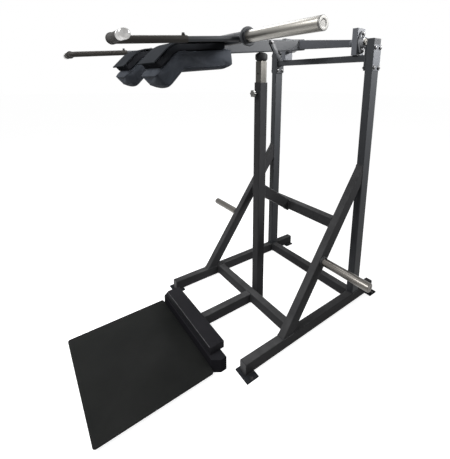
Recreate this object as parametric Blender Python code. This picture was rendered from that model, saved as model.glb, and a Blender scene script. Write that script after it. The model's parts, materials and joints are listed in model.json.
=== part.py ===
"""Plate-loaded viking press: a welded frame, a swinging lever with weight horns, pads and handles.

Metres, +Z up. The user stands on the platform at -Y and the uprights are at +Y.
The sizes below count Y from the front cross member's middle. At the end everything moves
along Y, so that the origin lies on the floor under the middle of the whole machine.
"""
import math

import bmesh
import bpy
from mathutils import Matrix, Vector

# Clearances
GAP = 0.0003  # between two pieces that touch
SLIDE_GAP = 0.0005  # all round a piece that slides or turns in another

# Rectangular tube that most of the frame is made of
TUBE_WIDTH = 0.050
TUBE_HEIGHT = 0.070
TUBE_WALL = 0.003
TUBE_CORNER = 0.006

# Base
FRAME_HALF_WIDTH = 0.425  # to the middle of a rail, an upright and a brace
RAIL_FRONT_Y = -0.385
RAIL_REAR_Y = 0.787
CAP_LIP = 0.004
CAP_DEPTH = 0.020
FOOT_THICKNESS = 0.008
FOOT_LENGTH = 0.075
FOOT_INNER = 0.045  # from the rail's middle to the plate's inner edge
FOOT_OUTER = 0.062
FOOT_OVERHANG_FRONT = 0.016
FOOT_OVERHANG_REAR = 0.002
FOOT_BOLT_INSET = 0.012
FOOT_BOLT_ACROSS = 0.013
FOOT_BOLT_HEIGHT = 0.006

# Uprights and braces
UPRIGHT_Y = 0.575
UPRIGHT_WIDTH = 0.050
UPRIGHT_DEPTH = 0.075
UPRIGHT_TOP_Z = 1.776
BRACE_FOOT_Y = -0.1306  # where the brace's middle line would meet the floor
BRACE_RUN = 0.7089  # rearward run for each metre of rise
BRACE_MEMBER_Z = 0.655

# Stop post and its sliding inner tube
POST_SIZE = 0.060
POST_WALL = 0.0045
INNER_WALL = 0.003
INNER_SHOWN = 0.127  # inner tube between the post's top and the bumper
INNER_LENGTH = 0.520
HOLE_PITCH = 0.060
HOLE_DIAMETER = 0.012
PIN_DROP = 0.067  # from the post's top down to the pin
PIN_DIAMETER = 0.010
PIN_BOSS_DIAMETER = 0.022
PIN_BOSS_LENGTH = 0.018
KNOB_DIAMETER = 0.046
KNOB_THICKNESS = 0.016
KNOB_LOBES = 6
KNOB_LOBE_DEPTH = 0.0046
BUMPER_DIAMETER = 0.075
BUMPER_HEIGHT = 0.051
BUMPER_CHAMFER = 0.012
STRUT_RISE = 0.68  # rise of the strut towards the post for each metre

# Crossbar, pivot posts and bearings
CROSSBAR_SIZE = 0.040
CROSSBAR_DROP = 0.111  # from the uprights' tops down to its middle
END_PLATE_THICKNESS = 0.008
END_PLATE_HEIGHT = 0.150
END_PLATE_DEPTH = 0.074
CLAMP_THICKNESS = 0.003
CLAMP_BOLT_DY = 0.025
CLAMP_BOLT_DZ = 0.058
CLAMP_BOLT_ACROSS = 0.017
CLAMP_BOLT_HEIGHT = 0.007
PIVOT_POST_WIDTH = 0.040
PIVOT_POST_DEPTH = 0.080
PIVOT_POST_HEIGHT = 0.160
PIVOT_POST_INSET = 0.084  # from an upright's inner face to the post's middle
PIVOT_RISE = 0.077  # from the crossbar's top face to the lever's axis
SHAFT_DIAMETER = 0.025
FLANGE_THICKNESS = 0.013
FLANGE_BOLT_DZ = 0.0505
FLANGE_END_RADIUS = 0.016
BEARING_BOSS_DIAMETER = 0.070
BEARING_BOSS_LENGTH = 0.020
FLANGE_BOLT_ACROSS = 0.018
FLANGE_BOLT_HEIGHT = 0.008

# Lever, drawn level in its own frame with the pivot at the origin, then tipped to rest on the bumper
LEVER_TILT = math.radians(5.48)
BEAM_AXIS_H = 0.0156
BEAM_REAR = -0.168
ARM_WIDTH = 0.040
ARM_ROOT_HEIGHT = 0.060
ARM_TIP_HEIGHT = 0.044
HUB_DIAMETER = 0.046
HUB_LENGTH = 0.050
SPACER_ACROSS = 0.036
CROSS_TUBE_Y = -0.938
CROSS_TUBE_H = 0.030
CROSS_TUBE_DIAMETER = 0.050
CROSS_TUBE_HALF_LENGTH = 0.412
HORN_DIAMETER = 0.050
HORN_WALL = 0.003
HORN_TIP_X = 0.820
HORN_FLANGE_DIAMETER = 0.080
HORN_FLANGE_THICKNESS = 0.012
HORN_CAP_THICKNESS = 0.006
STORAGE_HORN_Z = 0.4585
STORAGE_HORN_LENGTH = 0.312
STORAGE_FLANGE_DIAMETER = 0.064
STORAGE_FLANGE_THICKNESS = 0.008

# Handles
HANDLE_X = 0.385
HANDLE_DROP = 0.005  # from the cross tube's middle down to the handle's
HANDLE_DIAMETER = 0.028
HANDLE_STUB_DIAMETER = 0.022
HANDLE_REAR_Y = -1.205
HANDLE_FRONT_Y = -1.487
HANDLE_STUB_END_Y = -1.345
HANDLE_BEND_RADIUS = 0.030
HANDLE_BEND_STEPS = 6
GRIP_DIAMETER = 0.032
GRIP_START_X = 0.420
GRIP_END_X = 0.520
GRIP_CAP_DIAMETER = 0.033
GRIP_CAP_CLOSED = 0.012  # solid end of the cap beyond the tube
HANDLE_TIP_X = 0.566

# Shoulder pads, each a cushion with a narrower layer on its back and a bent plate over that
PAD_X = 0.206
PAD_WIDTH = 0.189
PAD_THICKNESS = 0.069
PAD_TOP_H = -0.022  # the cushion's back, level with the lever
PAD_REAR_Y = -0.935
PAD_BEND_Y = -1.178
PAD_INNER_BEND = 0.006  # radius on the inside of the bend
PAD_NOSE_LENGTH = 0.105
PAD_NOSE_ANGLE = math.radians(40)
PAD_NOSE_ROUND = 0.016
PAD_REAR_ROUND = 0.012
PAD_END_STEPS = 4
PAD_END_SHARE = 0.45  # thickness left at the very ends
PAD_CROWN = 0.004
PAD_BEND_STEPS = 6
PAD_BACK_THICKNESS = 0.043
PAD_BACK_INSET = 0.007  # from the cushion's side to the back layer's side
PAD_BACK_NOSE_LENGTH = 0.074
PAD_BACK_CLEARANCE = 0.004  # between the back layer and the cross tube
BACKING_THICKNESS = 0.006
BACKING_WIDTH = 0.186
BACKING_NOSE_LENGTH = 0.077

# Latch strap beside the beam
LATCH_THICKNESS = 0.005
LATCH_WIDTH = 0.034
LATCH_PIVOT_Y = -0.461
LATCH_PIVOT_H = 0.034
LATCH_REACH = 0.118
LATCH_LEAN = math.radians(28)

# Platform and toe block
PLATFORM_HALF_WIDTH = 0.3445
PLATFORM_FRONT_Y = -1.088
PLATFORM_BEARER_HEIGHT = 0.020
PLATFORM_BEARER_WIDTH = 0.030
PLATFORM_BEARER_INSET = 0.045
PLATFORM_PLATE = 0.003
PLATFORM_MAT = 0.005
PLATFORM_CORNER = 0.014
BLOCK_FRONT_Y = -0.510
BLOCK_REAR_Y = -0.435
BLOCK_HALF_WIDTH = 0.345
BLOCK_HEIGHT = 0.078
BLOCK_CHAMFER_X = 0.030
BLOCK_CHAMFER_Y = 0.040
TREAD_HALF_WIDTH = 0.287
TREAD_DEPTH = 0.088
TREAD_HEIGHT = 0.045
TREAD_REAR_OVERHANG = 0.023
TREAD_ROUND = 0.006

# Worked out from the above
RAIL_BOTTOM_Z = FOOT_THICKNESS + GAP
RAIL_TOP_Z = RAIL_BOTTOM_Z + TUBE_HEIGHT
POST_Y = TUBE_WIDTH / 2 + GAP + POST_SIZE / 2
INNER_SIZE = POST_SIZE - 2 * POST_WALL - 2 * SLIDE_GAP
CROSSBAR_Z = UPRIGHT_TOP_Z - CROSSBAR_DROP
CROSSBAR_TOP_Z = CROSSBAR_Z + CROSSBAR_SIZE / 2
UPRIGHT_INNER_X = FRAME_HALF_WIDTH - UPRIGHT_WIDTH / 2
PIVOT_POST_X = UPRIGHT_INNER_X - PIVOT_POST_INSET
PIVOT_POST_TOP_Z = CROSSBAR_TOP_Z + PIVOT_POST_HEIGHT
PIVOT_Z = CROSSBAR_TOP_Z + PIVOT_RISE
PIVOT = Vector((0, UPRIGHT_Y, PIVOT_Z))
HANDLE_H = CROSS_TUBE_H - HANDLE_DROP
BUMPER_FLAT_RADIUS = BUMPER_DIAMETER / 2 - 2 * BUMPER_CHAMFER
# The tipped beam's underside meets the bumper's flat top at its edge towards the front
BUMPER_TOP_Z = (PIVOT_Z + (BEAM_AXIS_H - TUBE_HEIGHT / 2) / math.cos(LEVER_TILT)
                - (UPRIGHT_Y - POST_Y + BUMPER_FLAT_RADIUS) * math.tan(LEVER_TILT) - GAP)
INNER_TOP_Z = BUMPER_TOP_Z - BUMPER_HEIGHT - GAP
POST_TOP_Z = INNER_TOP_Z - INNER_SHOWN
PIN_Z = POST_TOP_Z - PIN_DROP

ROUND_STEPS = 32
SIDES = ((-1, "left"), (1, "right"))


def clear_scene():
    for obj in list(bpy.data.objects):
        bpy.data.objects.remove(obj)


def material(name, colour, roughness, metallic=0.0):
    made = bpy.data.materials.new(name)
    made.use_nodes = True
    shader = made.node_tree.nodes["Principled BSDF"]
    shader.inputs["Base Color"].default_value = (*colour, 1)
    shader.inputs["Roughness"].default_value = roughness
    shader.inputs["Metallic"].default_value = metallic
    made.diffuse_color = (*colour, 1)
    return made


def add_object(name, bm, finish, parent=None, helper=False):
    """One object from a bmesh, with its faces pointing out and its round parts shaded smooth."""
    bmesh.ops.recalc_face_normals(bm, faces=bm.faces)
    mesh = bpy.data.meshes.new(name)
    bm.to_mesh(mesh)
    bm.free()
    obj = bpy.data.objects.new(name, mesh)
    bpy.context.scene.collection.objects.link(obj)
    if finish:
        mesh.materials.append(finish)
    mesh.shade_smooth()
    mesh.set_sharp_from_angle(angle=math.radians(35))
    if parent:
        obj.parent = parent
    if helper:
        obj.hide_render = True
        obj.display_type = "WIRE"
    return obj


def pivot_empty(name, place, turn=None, parent=None):
    empty = bpy.data.objects.new(name, None)
    bpy.context.scene.collection.objects.link(empty)
    empty.location = place
    if turn:
        empty.rotation_euler = turn
    if parent:
        empty.parent = parent
    return empty


def boolean(obj, other, operation):
    """Cut or join with a helper, which then stays out of the model."""
    other.hide_render = True
    other.display_type = "WIRE"
    modifier = obj.modifiers.new(operation.title(), "BOOLEAN")
    modifier.operation = operation
    modifier.solver = "EXACT"
    modifier.object = other


def rounded_rectangle(width, height, corner, steps=3):
    """Points round a rectangle with round corners, anticlockwise."""
    points = []
    for sx, sy, start in ((1, 1, 0), (-1, 1, 90), (-1, -1, 180), (1, -1, 270)):
        for step in range(steps + 1):
            angle = math.radians(start + 90 * step / steps)
            points.append((
                sx * (width / 2 - corner) + corner * math.cos(angle),
                sy * (height / 2 - corner) + corner * math.sin(angle),
            ))
    return points


def skin(bm, rings, closed):
    """Quads between rings of points. The last ring joins the first, or else both ends get a flat face."""
    loops = [[bm.verts.new(point) for point in ring] for ring in rings]
    following = loops[1:] + loops[:1] if closed else loops[1:]
    for near, far in zip(loops, following):
        for k in range(len(near)):
            bm.faces.new((near[k - 1], near[k], far[k], far[k - 1]))
    if not closed:
        bm.faces.new(loops[0])
        bm.faces.new(loops[-1])


def tube(name, finish, start, end, across, width, height, wall, corner=TUBE_CORNER, start_cut=None,
        end_cut=None, end_scale=1.0, parent=None, helper=False):
    """A rectangular tube between two points, whose width runs along across.

    A cut is the normal of that end's face.
    A wall of 0 makes a solid bar. end_scale tapers the height towards the end.
    """
    start, end = Vector(start), Vector(end)
    along = (end - start).normalized()
    side = Vector(across).normalized()
    up = along.cross(side)
    bm = bmesh.new()

    def ring(shrink, middle, cut, scale):
        normal = Vector(cut).normalized() if cut else along
        points = []
        size = (width - 2 * shrink, height * scale - 2 * shrink)
        for u, v in rounded_rectangle(*size, max(corner - shrink, 0.001)):
            offset = side * u + up * v
            points.append(middle + offset - along * (offset.dot(normal) / along.dot(normal)))
        return points

    rings = [ring(0, start, start_cut, 1), ring(0, end, end_cut, end_scale)]
    if wall:
        rings += [ring(wall, end, end_cut, end_scale), ring(wall, start, start_cut, 1)]
    skin(bm, rings, closed=bool(wall))
    return add_object(name, bm, finish, parent, helper)


def turned(name, finish, profile, origin, axis, bored=False, steps=ROUND_STEPS, parent=None, helper=False):
    """A turned piece from (radius, distance along the axis) points. A bored one closes on itself."""
    bm = bmesh.new()
    verts = [bm.verts.new((radius, 0, along)) for radius, along in profile]
    edges = [bm.edges.new((a, b)) for a, b in zip(verts, verts[1:])]
    if bored:
        edges.append(bm.edges.new((verts[-1], verts[0])))
    bmesh.ops.spin(bm, geom=verts + edges, cent=(0, 0, 0), axis=(0, 0, 1), angle=math.tau, steps=steps,
        use_merge=True)
    bmesh.ops.remove_doubles(bm, verts=bm.verts, dist=1e-6)
    turn = Vector((0, 0, 1)).rotation_difference(Vector(axis)).to_matrix().to_4x4()
    bmesh.ops.transform(bm, matrix=Matrix.Translation(origin) @ turn, verts=bm.verts)
    return add_object(name, bm, finish, parent, helper)


def box(name, finish, low, high, bevel=0.0, parent=None, helper=False):
    low, high = Vector(low), Vector(high)
    bm = bmesh.new()
    bmesh.ops.create_cube(bm, size=1)
    bmesh.ops.scale(bm, vec=high - low, verts=bm.verts)
    bmesh.ops.translate(bm, vec=(low + high) / 2, verts=bm.verts)
    if bevel:
        bmesh.ops.bevel(bm, geom=bm.edges, offset=bevel, offset_type="OFFSET", affect="EDGES", segments=2,
                        profile=0.5, material=-1, clamp_overlap=True)
    return add_object(name, bm, finish, parent, helper)


def outline_plate(name, finish, points, thickness, matrix, parent=None, helper=False):
    """A flat plate with the given outline, extruded along its own +Z and then placed."""
    bm = bmesh.new()
    face = bm.faces.new([bm.verts.new((x, y, 0)) for x, y in points])
    lifted = bmesh.ops.extrude_face_region(bm, geom=[face], use_keep_orig=True)["geom"]
    top = [item for item in lifted if isinstance(item, bmesh.types.BMVert)]
    bmesh.ops.translate(bm, vec=(0, 0, thickness), verts=top)
    bmesh.ops.transform(bm, matrix=matrix, verts=bm.verts)
    return add_object(name, bm, finish, parent, helper)


def hexagon(across_flats):
    radius = across_flats / math.sqrt(3)
    angles = [math.radians(60 * k) for k in range(6)]
    return [(radius * math.cos(angle), radius * math.sin(angle)) for angle in angles]


def facing(place, direction):
    """Turns +Z to a direction and moves the origin to a place."""
    turn = Vector((0, 0, 1)).rotation_difference(Vector(direction)).to_matrix().to_4x4()
    return Matrix.Translation(place) @ turn


def add_bolt(obj, place, direction, across, height):
    """Joins a hexagon head, sunk a little into its seat, to the piece that carries it."""
    sink = 0.001
    seat = Vector(place) - Vector(direction) * sink
    head = outline_plate(obj.name + "_bolt_head", None, hexagon(across), height + sink, facing(seat,
        direction), parent=obj.parent, helper=True)
    boolean(obj, head, "UNION")


def build_base(coat, plastic):
    for side, word in SIDES:
        x = side * FRAME_HALF_WIDTH
        middle_z = RAIL_BOTTOM_Z + TUBE_HEIGHT / 2
        front, rear = RAIL_FRONT_Y + CAP_LIP + GAP, RAIL_REAR_Y - CAP_LIP - GAP
        tube(f"rail_{word}", coat, (x, front, middle_z), (x, rear, middle_z), (1, 0, 0), TUBE_WIDTH,
            TUBE_HEIGHT, TUBE_WALL)
        for y, outward, place in ((front, -1, "front"), (rear, 1, "rear")):
            end_cap(f"rail_cap_{place}_{word}", plastic, (x, y, middle_z), (0, outward, 0), (1, 0, 0),
                TUBE_WIDTH, TUBE_HEIGHT)
            foot_plate(f"foot_{place}_{word}", coat, side, outward)
    reach = FRAME_HALF_WIDTH - TUBE_WIDTH / 2 - GAP
    for name, y in (("front_cross_member", 0.0), ("rear_cross_member", UPRIGHT_Y)):
        tube(name, coat, (-reach, y, middle_z), (reach, y, middle_z), (0, 1, 0), TUBE_WIDTH, TUBE_HEIGHT,
            TUBE_WALL)
    tube("centre_rail", coat, (0, BLOCK_REAR_Y + GAP, middle_z), (0, -TUBE_WIDTH / 2 - GAP, middle_z),
        (1, 0, 0), TUBE_WIDTH, TUBE_HEIGHT, TUBE_WALL)


def end_cap(name, finish, place, outward, across, width, height):
    """A plastic plug: a lip that covers the tube's end and a shank inside it."""
    place, outward = Vector(place), Vector(outward)
    lip_start = place + outward * GAP
    lip = tube(name, finish, lip_start, lip_start + outward * CAP_LIP, across, width, height, 0)
    shank_size = [size - 2 * (TUBE_WALL + SLIDE_GAP) for size in (width, height)]
    shank = tube(name + "_shank", None, place - outward * CAP_DEPTH, lip_start + outward * (CAP_LIP / 2),
        across, *shank_size, 0, corner=0.004, helper=True)
    boolean(lip, shank, "UNION")


def foot_plate(name, finish, side, outward):
    """A flat foot under a rail's end, wider than the rail, held down by a bolt on each side."""
    end = RAIL_FRONT_Y - FOOT_OVERHANG_FRONT if outward < 0 else RAIL_REAR_Y + FOOT_OVERHANG_REAR
    y_low, y_high = sorted((end, end - outward * FOOT_LENGTH))
    inner, outer = (side * (FRAME_HALF_WIDTH + step) for step in (-FOOT_INNER, FOOT_OUTER))
    x_low, x_high = sorted((inner, outer))
    plate = box(name, finish, (x_low, y_low, 0), (x_high, y_high, FOOT_THICKNESS), bevel=0.001)
    bolt_y = (y_low + y_high) / 2
    for x in (inner + side * FOOT_BOLT_INSET * 0.8, outer - side * FOOT_BOLT_INSET):
        add_bolt(plate, (x, bolt_y, FOOT_THICKNESS), (0, 0, 1), FOOT_BOLT_ACROSS, FOOT_BOLT_HEIGHT)


def build_platform(coat, rubber):
    rear = BLOCK_FRONT_Y - GAP
    plate_z = PLATFORM_BEARER_HEIGHT
    size = (2 * PLATFORM_HALF_WIDTH, rear - PLATFORM_FRONT_Y)
    middle = Matrix.Translation((0, (rear + PLATFORM_FRONT_Y) / 2, plate_z))
    outline = rounded_rectangle(*size, PLATFORM_CORNER, steps=4)
    plate = outline_plate("platform_plate", coat, outline, PLATFORM_PLATE, middle)
    low_y, high_y = PLATFORM_FRONT_Y + PLATFORM_BEARER_INSET, rear - PLATFORM_BEARER_INSET
    reach = PLATFORM_HALF_WIDTH - PLATFORM_BEARER_INSET - PLATFORM_BEARER_WIDTH / 2
    for index, x in enumerate((-reach, 0, reach)):
        half = PLATFORM_BEARER_WIDTH / 2
        bearer = box(f"platform_bearer_{index}", None, (x - half, low_y, 0),
            (x + half, high_y, plate_z + PLATFORM_PLATE / 2), helper=True)
        boolean(plate, bearer, "UNION")
    mat_z = Matrix.Translation((0, 0, PLATFORM_PLATE + GAP)) @ middle
    outline_plate("platform_mat", rubber, outline, PLATFORM_MAT, mat_z)


def build_toe_block(coat, rubber):
    half, cx, cy = BLOCK_HALF_WIDTH, BLOCK_CHAMFER_X, BLOCK_CHAMFER_Y
    outline = [
        (half, BLOCK_REAR_Y), (-half, BLOCK_REAR_Y), (-half, BLOCK_FRONT_Y + cy), (cx - half, BLOCK_FRONT_Y),
        (half - cx, BLOCK_FRONT_Y), (half, BLOCK_FRONT_Y + cy),
    ]
    outline_plate("toe_block_base", coat, outline, BLOCK_HEIGHT, Matrix())
    rear = BLOCK_REAR_Y + TREAD_REAR_OVERHANG
    bottom = BLOCK_HEIGHT + GAP
    box("toe_block_tread", rubber, (-TREAD_HALF_WIDTH, rear - TREAD_DEPTH, bottom),
        (TREAD_HALF_WIDTH, rear, bottom + TREAD_HEIGHT), bevel=TREAD_ROUND)


def build_uprights(coat, plastic):
    """Uprights on the rails, and the braces that lean from the rails to the uprights' front faces."""
    for side, word in SIDES:
        x = side * FRAME_HALF_WIDTH
        top = UPRIGHT_TOP_Z - CAP_LIP - GAP
        tube(f"upright_{word}", coat, (x, UPRIGHT_Y, RAIL_TOP_Z + GAP), (x, UPRIGHT_Y, top), (1, 0, 0),
             UPRIGHT_WIDTH, UPRIGHT_DEPTH, TUBE_WALL)
        end_cap(f"upright_cap_{word}", plastic, (x, UPRIGHT_Y, top), (0, 0, 1), (1, 0, 0), UPRIGHT_WIDTH,
            UPRIGHT_DEPTH)
        foot_z = RAIL_TOP_Z + GAP
        head_y = UPRIGHT_Y - UPRIGHT_DEPTH / 2 - GAP
        head_z = (head_y - BRACE_FOOT_Y) / BRACE_RUN
        tube(f"brace_{word}", coat, (x, brace_y(foot_z), foot_z), (x, head_y, head_z), (1, 0, 0),
            TUBE_WIDTH, TUBE_HEIGHT, TUBE_WALL, start_cut=(0, 0, 1), end_cut=(0, 1, 0))


def brace_y(z):
    return BRACE_FOOT_Y + BRACE_RUN * z


def build_middle(coat):
    """The member between the braces, and the strut from it to the stop post."""
    reach = FRAME_HALF_WIDTH - TUBE_WIDTH / 2 - GAP
    y = brace_y(BRACE_MEMBER_Z)
    tube("brace_cross_member", coat, (-reach, y, BRACE_MEMBER_Z), (reach, y, BRACE_MEMBER_Z), (0, 1, 0),
        TUBE_WIDTH, TUBE_HEIGHT, TUBE_WALL)
    rear_y = y - TUBE_WIDTH / 2 - GAP
    front_y = POST_Y + POST_SIZE / 2 + GAP
    front_z = BRACE_MEMBER_Z + (rear_y - front_y) * STRUT_RISE
    tube("post_strut", coat, (0, front_y, front_z), (0, rear_y, BRACE_MEMBER_Z), (1, 0, 0), TUBE_WIDTH,
        TUBE_HEIGHT, TUBE_WALL, start_cut=(0, 1, 0), end_cut=(0, 1, 0))


def build_stop(coat, zinc, rubber, steel):
    """The post with its pin boss, the inner tube that slides in it, the bumper on top and the pull pin."""
    post = tube("stop_post", coat, (0, POST_Y, RAIL_BOTTOM_Z), (0, POST_Y, POST_TOP_Z), (1, 0, 0),
        POST_SIZE, POST_SIZE, POST_WALL)
    face_y = POST_Y - POST_SIZE / 2
    boss = turned("pin_boss", None, [(0, -0.001), (PIN_BOSS_DIAMETER / 2, -0.001),
        (PIN_BOSS_DIAMETER / 2, PIN_BOSS_LENGTH), (0, PIN_BOSS_LENGTH)], (0, face_y, PIN_Z), (0, -1, 0),
        steps=20, helper=True)
    boolean(post, boss, "UNION")
    bore_radius = PIN_DIAMETER / 2 + SLIDE_GAP
    bore = turned("pin_bore", None, [(0, -0.01), (bore_radius, -0.01),
        (bore_radius, PIN_BOSS_LENGTH + 0.01), (0, PIN_BOSS_LENGTH + 0.01)], (0, face_y, PIN_Z),
        (0, -1, 0), steps=20, helper=True)
    boolean(post, bore, "DIFFERENCE")

    slide = pivot_empty("stop_slide_axis", (0, POST_Y, INNER_TOP_Z))
    inner = tube("stop_inner_tube", zinc, (0, 0, -INNER_LENGTH), (0, 0, 0), (1, 0, 0), INNER_SIZE,
        INNER_SIZE, INNER_WALL, corner=0.004, parent=slide)
    for step in range(3):
        z = PIN_Z + step * HOLE_PITCH - INNER_TOP_Z
        hole = turned(f"stop_hole_{step}", None, [(0, -0.01), (HOLE_DIAMETER / 2, -0.01),
            (HOLE_DIAMETER / 2, 0.02), (0, 0.02)], (0, -INNER_SIZE / 2 + 0.01, z), (0, -1, 0), steps=16,
            parent=slide, helper=True)
        boolean(inner, hole, "DIFFERENCE")
    radius, chamfer = BUMPER_DIAMETER / 2, BUMPER_CHAMFER
    turned("stop_bumper", rubber, [(0, 0), (radius - chamfer, 0), (radius, chamfer),
        (radius, BUMPER_HEIGHT - chamfer), (radius - chamfer, BUMPER_HEIGHT - chamfer / 3),
        (BUMPER_FLAT_RADIUS, BUMPER_HEIGHT), (0, BUMPER_HEIGHT)], (0, 0, GAP), (0, 0, 1), parent=slide)

    pin_axis = pivot_empty("pull_pin_axis", (0, face_y, PIN_Z))
    tip = POST_WALL - 0.0005
    knob_start = PIN_BOSS_LENGTH + GAP
    radius = PIN_DIAMETER / 2
    collar = PIN_BOSS_DIAMETER / 2 - 0.002
    pin = turned("pull_pin", steel, [(0, -tip), (radius, -tip), (radius, knob_start),
        (collar, knob_start), (collar, knob_start + 0.006), (0, knob_start + 0.006)], (0, 0, 0),
        (0, -1, 0), steps=20, parent=pin_axis)
    knob = outline_plate("pull_pin_knob", None, knob_outline(), KNOB_THICKNESS,
        facing((0, -knob_start - 0.005, 0), (0, -1, 0)), parent=pin_axis, helper=True)
    boolean(pin, knob, "UNION")


def knob_outline():
    """A star knob: a circle whose radius swells at each lobe."""
    points = []
    for step in range(KNOB_LOBES * 8):
        angle = math.tau * step / (KNOB_LOBES * 8)
        radius = KNOB_DIAMETER / 2 - KNOB_LOBE_DEPTH / 2 * (1 - math.cos(KNOB_LOBES * angle))
        points.append((radius * math.cos(angle), radius * math.sin(angle)))
    return points


def build_crossbar(coat, zinc):
    """The crossbar and its bolted ends, and the two posts with flange bearings that stand on it."""
    plate_inner = UPRIGHT_INNER_X - GAP - END_PLATE_THICKNESS
    bar = tube("top_crossbar", coat, (-plate_inner, UPRIGHT_Y, CROSSBAR_Z),
        (plate_inner, UPRIGHT_Y, CROSSBAR_Z), (0, 1, 0), CROSSBAR_SIZE, CROSSBAR_SIZE, TUBE_WALL,
        corner=0.004)
    for side, word in SIDES:
        low, high = sorted((side * (plate_inner - 0.001), side * (UPRIGHT_INNER_X - GAP)))
        plate = box(f"crossbar_end_{word}", None,
            (low, UPRIGHT_Y - END_PLATE_DEPTH / 2, CROSSBAR_Z - END_PLATE_HEIGHT / 2),
            (high, UPRIGHT_Y + END_PLATE_DEPTH / 2, CROSSBAR_Z + END_PLATE_HEIGHT / 2), helper=True)
        boolean(bar, plate, "UNION")
        hollow = box(f"crossbar_end_hole_{word}", None, *hole_corners(side, plate_inner), helper=True)
        boolean(bar, hollow, "DIFFERENCE")
        outer_x = FRAME_HALF_WIDTH + UPRIGHT_WIDTH / 2 + GAP
        low, high = sorted((side * outer_x, side * (outer_x + CLAMP_THICKNESS)))
        clamp = box(f"crossbar_clamp_{word}", zinc,
            (low, UPRIGHT_Y - END_PLATE_DEPTH / 2, CROSSBAR_Z - END_PLATE_HEIGHT / 2),
            (high, UPRIGHT_Y + END_PLATE_DEPTH / 2, CROSSBAR_Z + END_PLATE_HEIGHT / 2))
        for dy in (-CLAMP_BOLT_DY, CLAMP_BOLT_DY):
            for dz in (-CLAMP_BOLT_DZ, CLAMP_BOLT_DZ):
                y, z = UPRIGHT_Y + dy, CROSSBAR_Z + dz
                add_bolt(clamp, (side * (outer_x + CLAMP_THICKNESS), y, z), (side, 0, 0),
                    CLAMP_BOLT_ACROSS, CLAMP_BOLT_HEIGHT)
                add_bolt(bar, (side * plate_inner, y, z), (-side, 0, 0), CLAMP_BOLT_ACROSS, CLAMP_BOLT_HEIGHT)


def hole_corners(side, plate_inner):
    """The bar's bore goes on through each end plate."""
    half = CROSSBAR_SIZE / 2 - TUBE_WALL - 0.004
    x_low, x_high = sorted((side * (plate_inner - 0.01), side * (UPRIGHT_INNER_X + 0.01)))
    return (x_low, UPRIGHT_Y - half, CROSSBAR_Z - half), (x_high, UPRIGHT_Y + half, CROSSBAR_Z + half)


def build_pivots(coat, iron):
    for side, word in SIDES:
        x = side * PIVOT_POST_X
        post = tube(f"pivot_post_{word}", coat, (x, UPRIGHT_Y, CROSSBAR_TOP_Z + GAP),
            (x, UPRIGHT_Y, PIVOT_POST_TOP_Z), (1, 0, 0), PIVOT_POST_WIDTH, PIVOT_POST_DEPTH, 0,
            corner=0.005)
        bore_radius = SHAFT_DIAMETER / 2 + SLIDE_GAP
        bore = turned(f"pivot_bore_{word}", None, [(0, -0.1), (bore_radius, -0.1), (bore_radius, 0.1),
            (0, 0.1)], (x, UPRIGHT_Y, PIVOT_Z), (1, 0, 0), helper=True)
        boolean(post, bore, "DIFFERENCE")
        face = Vector((side * (PIVOT_POST_X + PIVOT_POST_WIDTH / 2 + GAP), UPRIGHT_Y, PIVOT_Z))
        flange = outline_plate(f"bearing_{word}", iron, flange_outline(), FLANGE_THICKNESS,
            flange_frame(face, side))
        boss = turned(f"bearing_boss_{word}", None, [(0, 0.002), (BEARING_BOSS_DIAMETER / 2, 0.002),
            (BEARING_BOSS_DIAMETER / 2 - 0.004, FLANGE_THICKNESS + BEARING_BOSS_LENGTH),
            (0, FLANGE_THICKNESS + BEARING_BOSS_LENGTH)], face, (side, 0, 0), helper=True)
        boolean(flange, boss, "UNION")
        for dz in (-FLANGE_BOLT_DZ, FLANGE_BOLT_DZ):
            add_bolt(flange, face + Vector((side * FLANGE_THICKNESS, 0, dz)), (side, 0, 0),
                FLANGE_BOLT_ACROSS, FLANGE_BOLT_HEIGHT)
        boolean(flange, bore, "DIFFERENCE")


def flange_frame(face, side):
    """Own X up, own Z out of the post's face."""
    columns = Matrix(((0, 0, side), (0, side, 0), (1, 0, 0))).to_4x4()
    if columns.determinant() < 0:
        columns = columns @ Matrix.Scale(-1, 4, (0, 1, 0))
    return Matrix.Translation(face) @ columns


def flange_outline():
    """An oval flange: two small ends joined to a round middle by straight tangents."""
    middle, end = BEARING_BOSS_DIAMETER / 2, FLANGE_END_RADIUS
    lean = math.acos((middle - end) / FLANGE_BOLT_DZ)
    points = []
    arcs = [(-lean, end, FLANGE_BOLT_DZ), (lean, middle, 0), (math.pi - lean, end, -FLANGE_BOLT_DZ),
            (math.pi + lean, middle, 0)]
    for start, radius, centre in arcs:
        sweep = 2 * lean if centre else math.pi - 2 * lean
        for step in range(9):
            angle = start + sweep * step / 8
            points.append((centre + radius * math.cos(angle), radius * math.sin(angle)))
    return points


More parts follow.
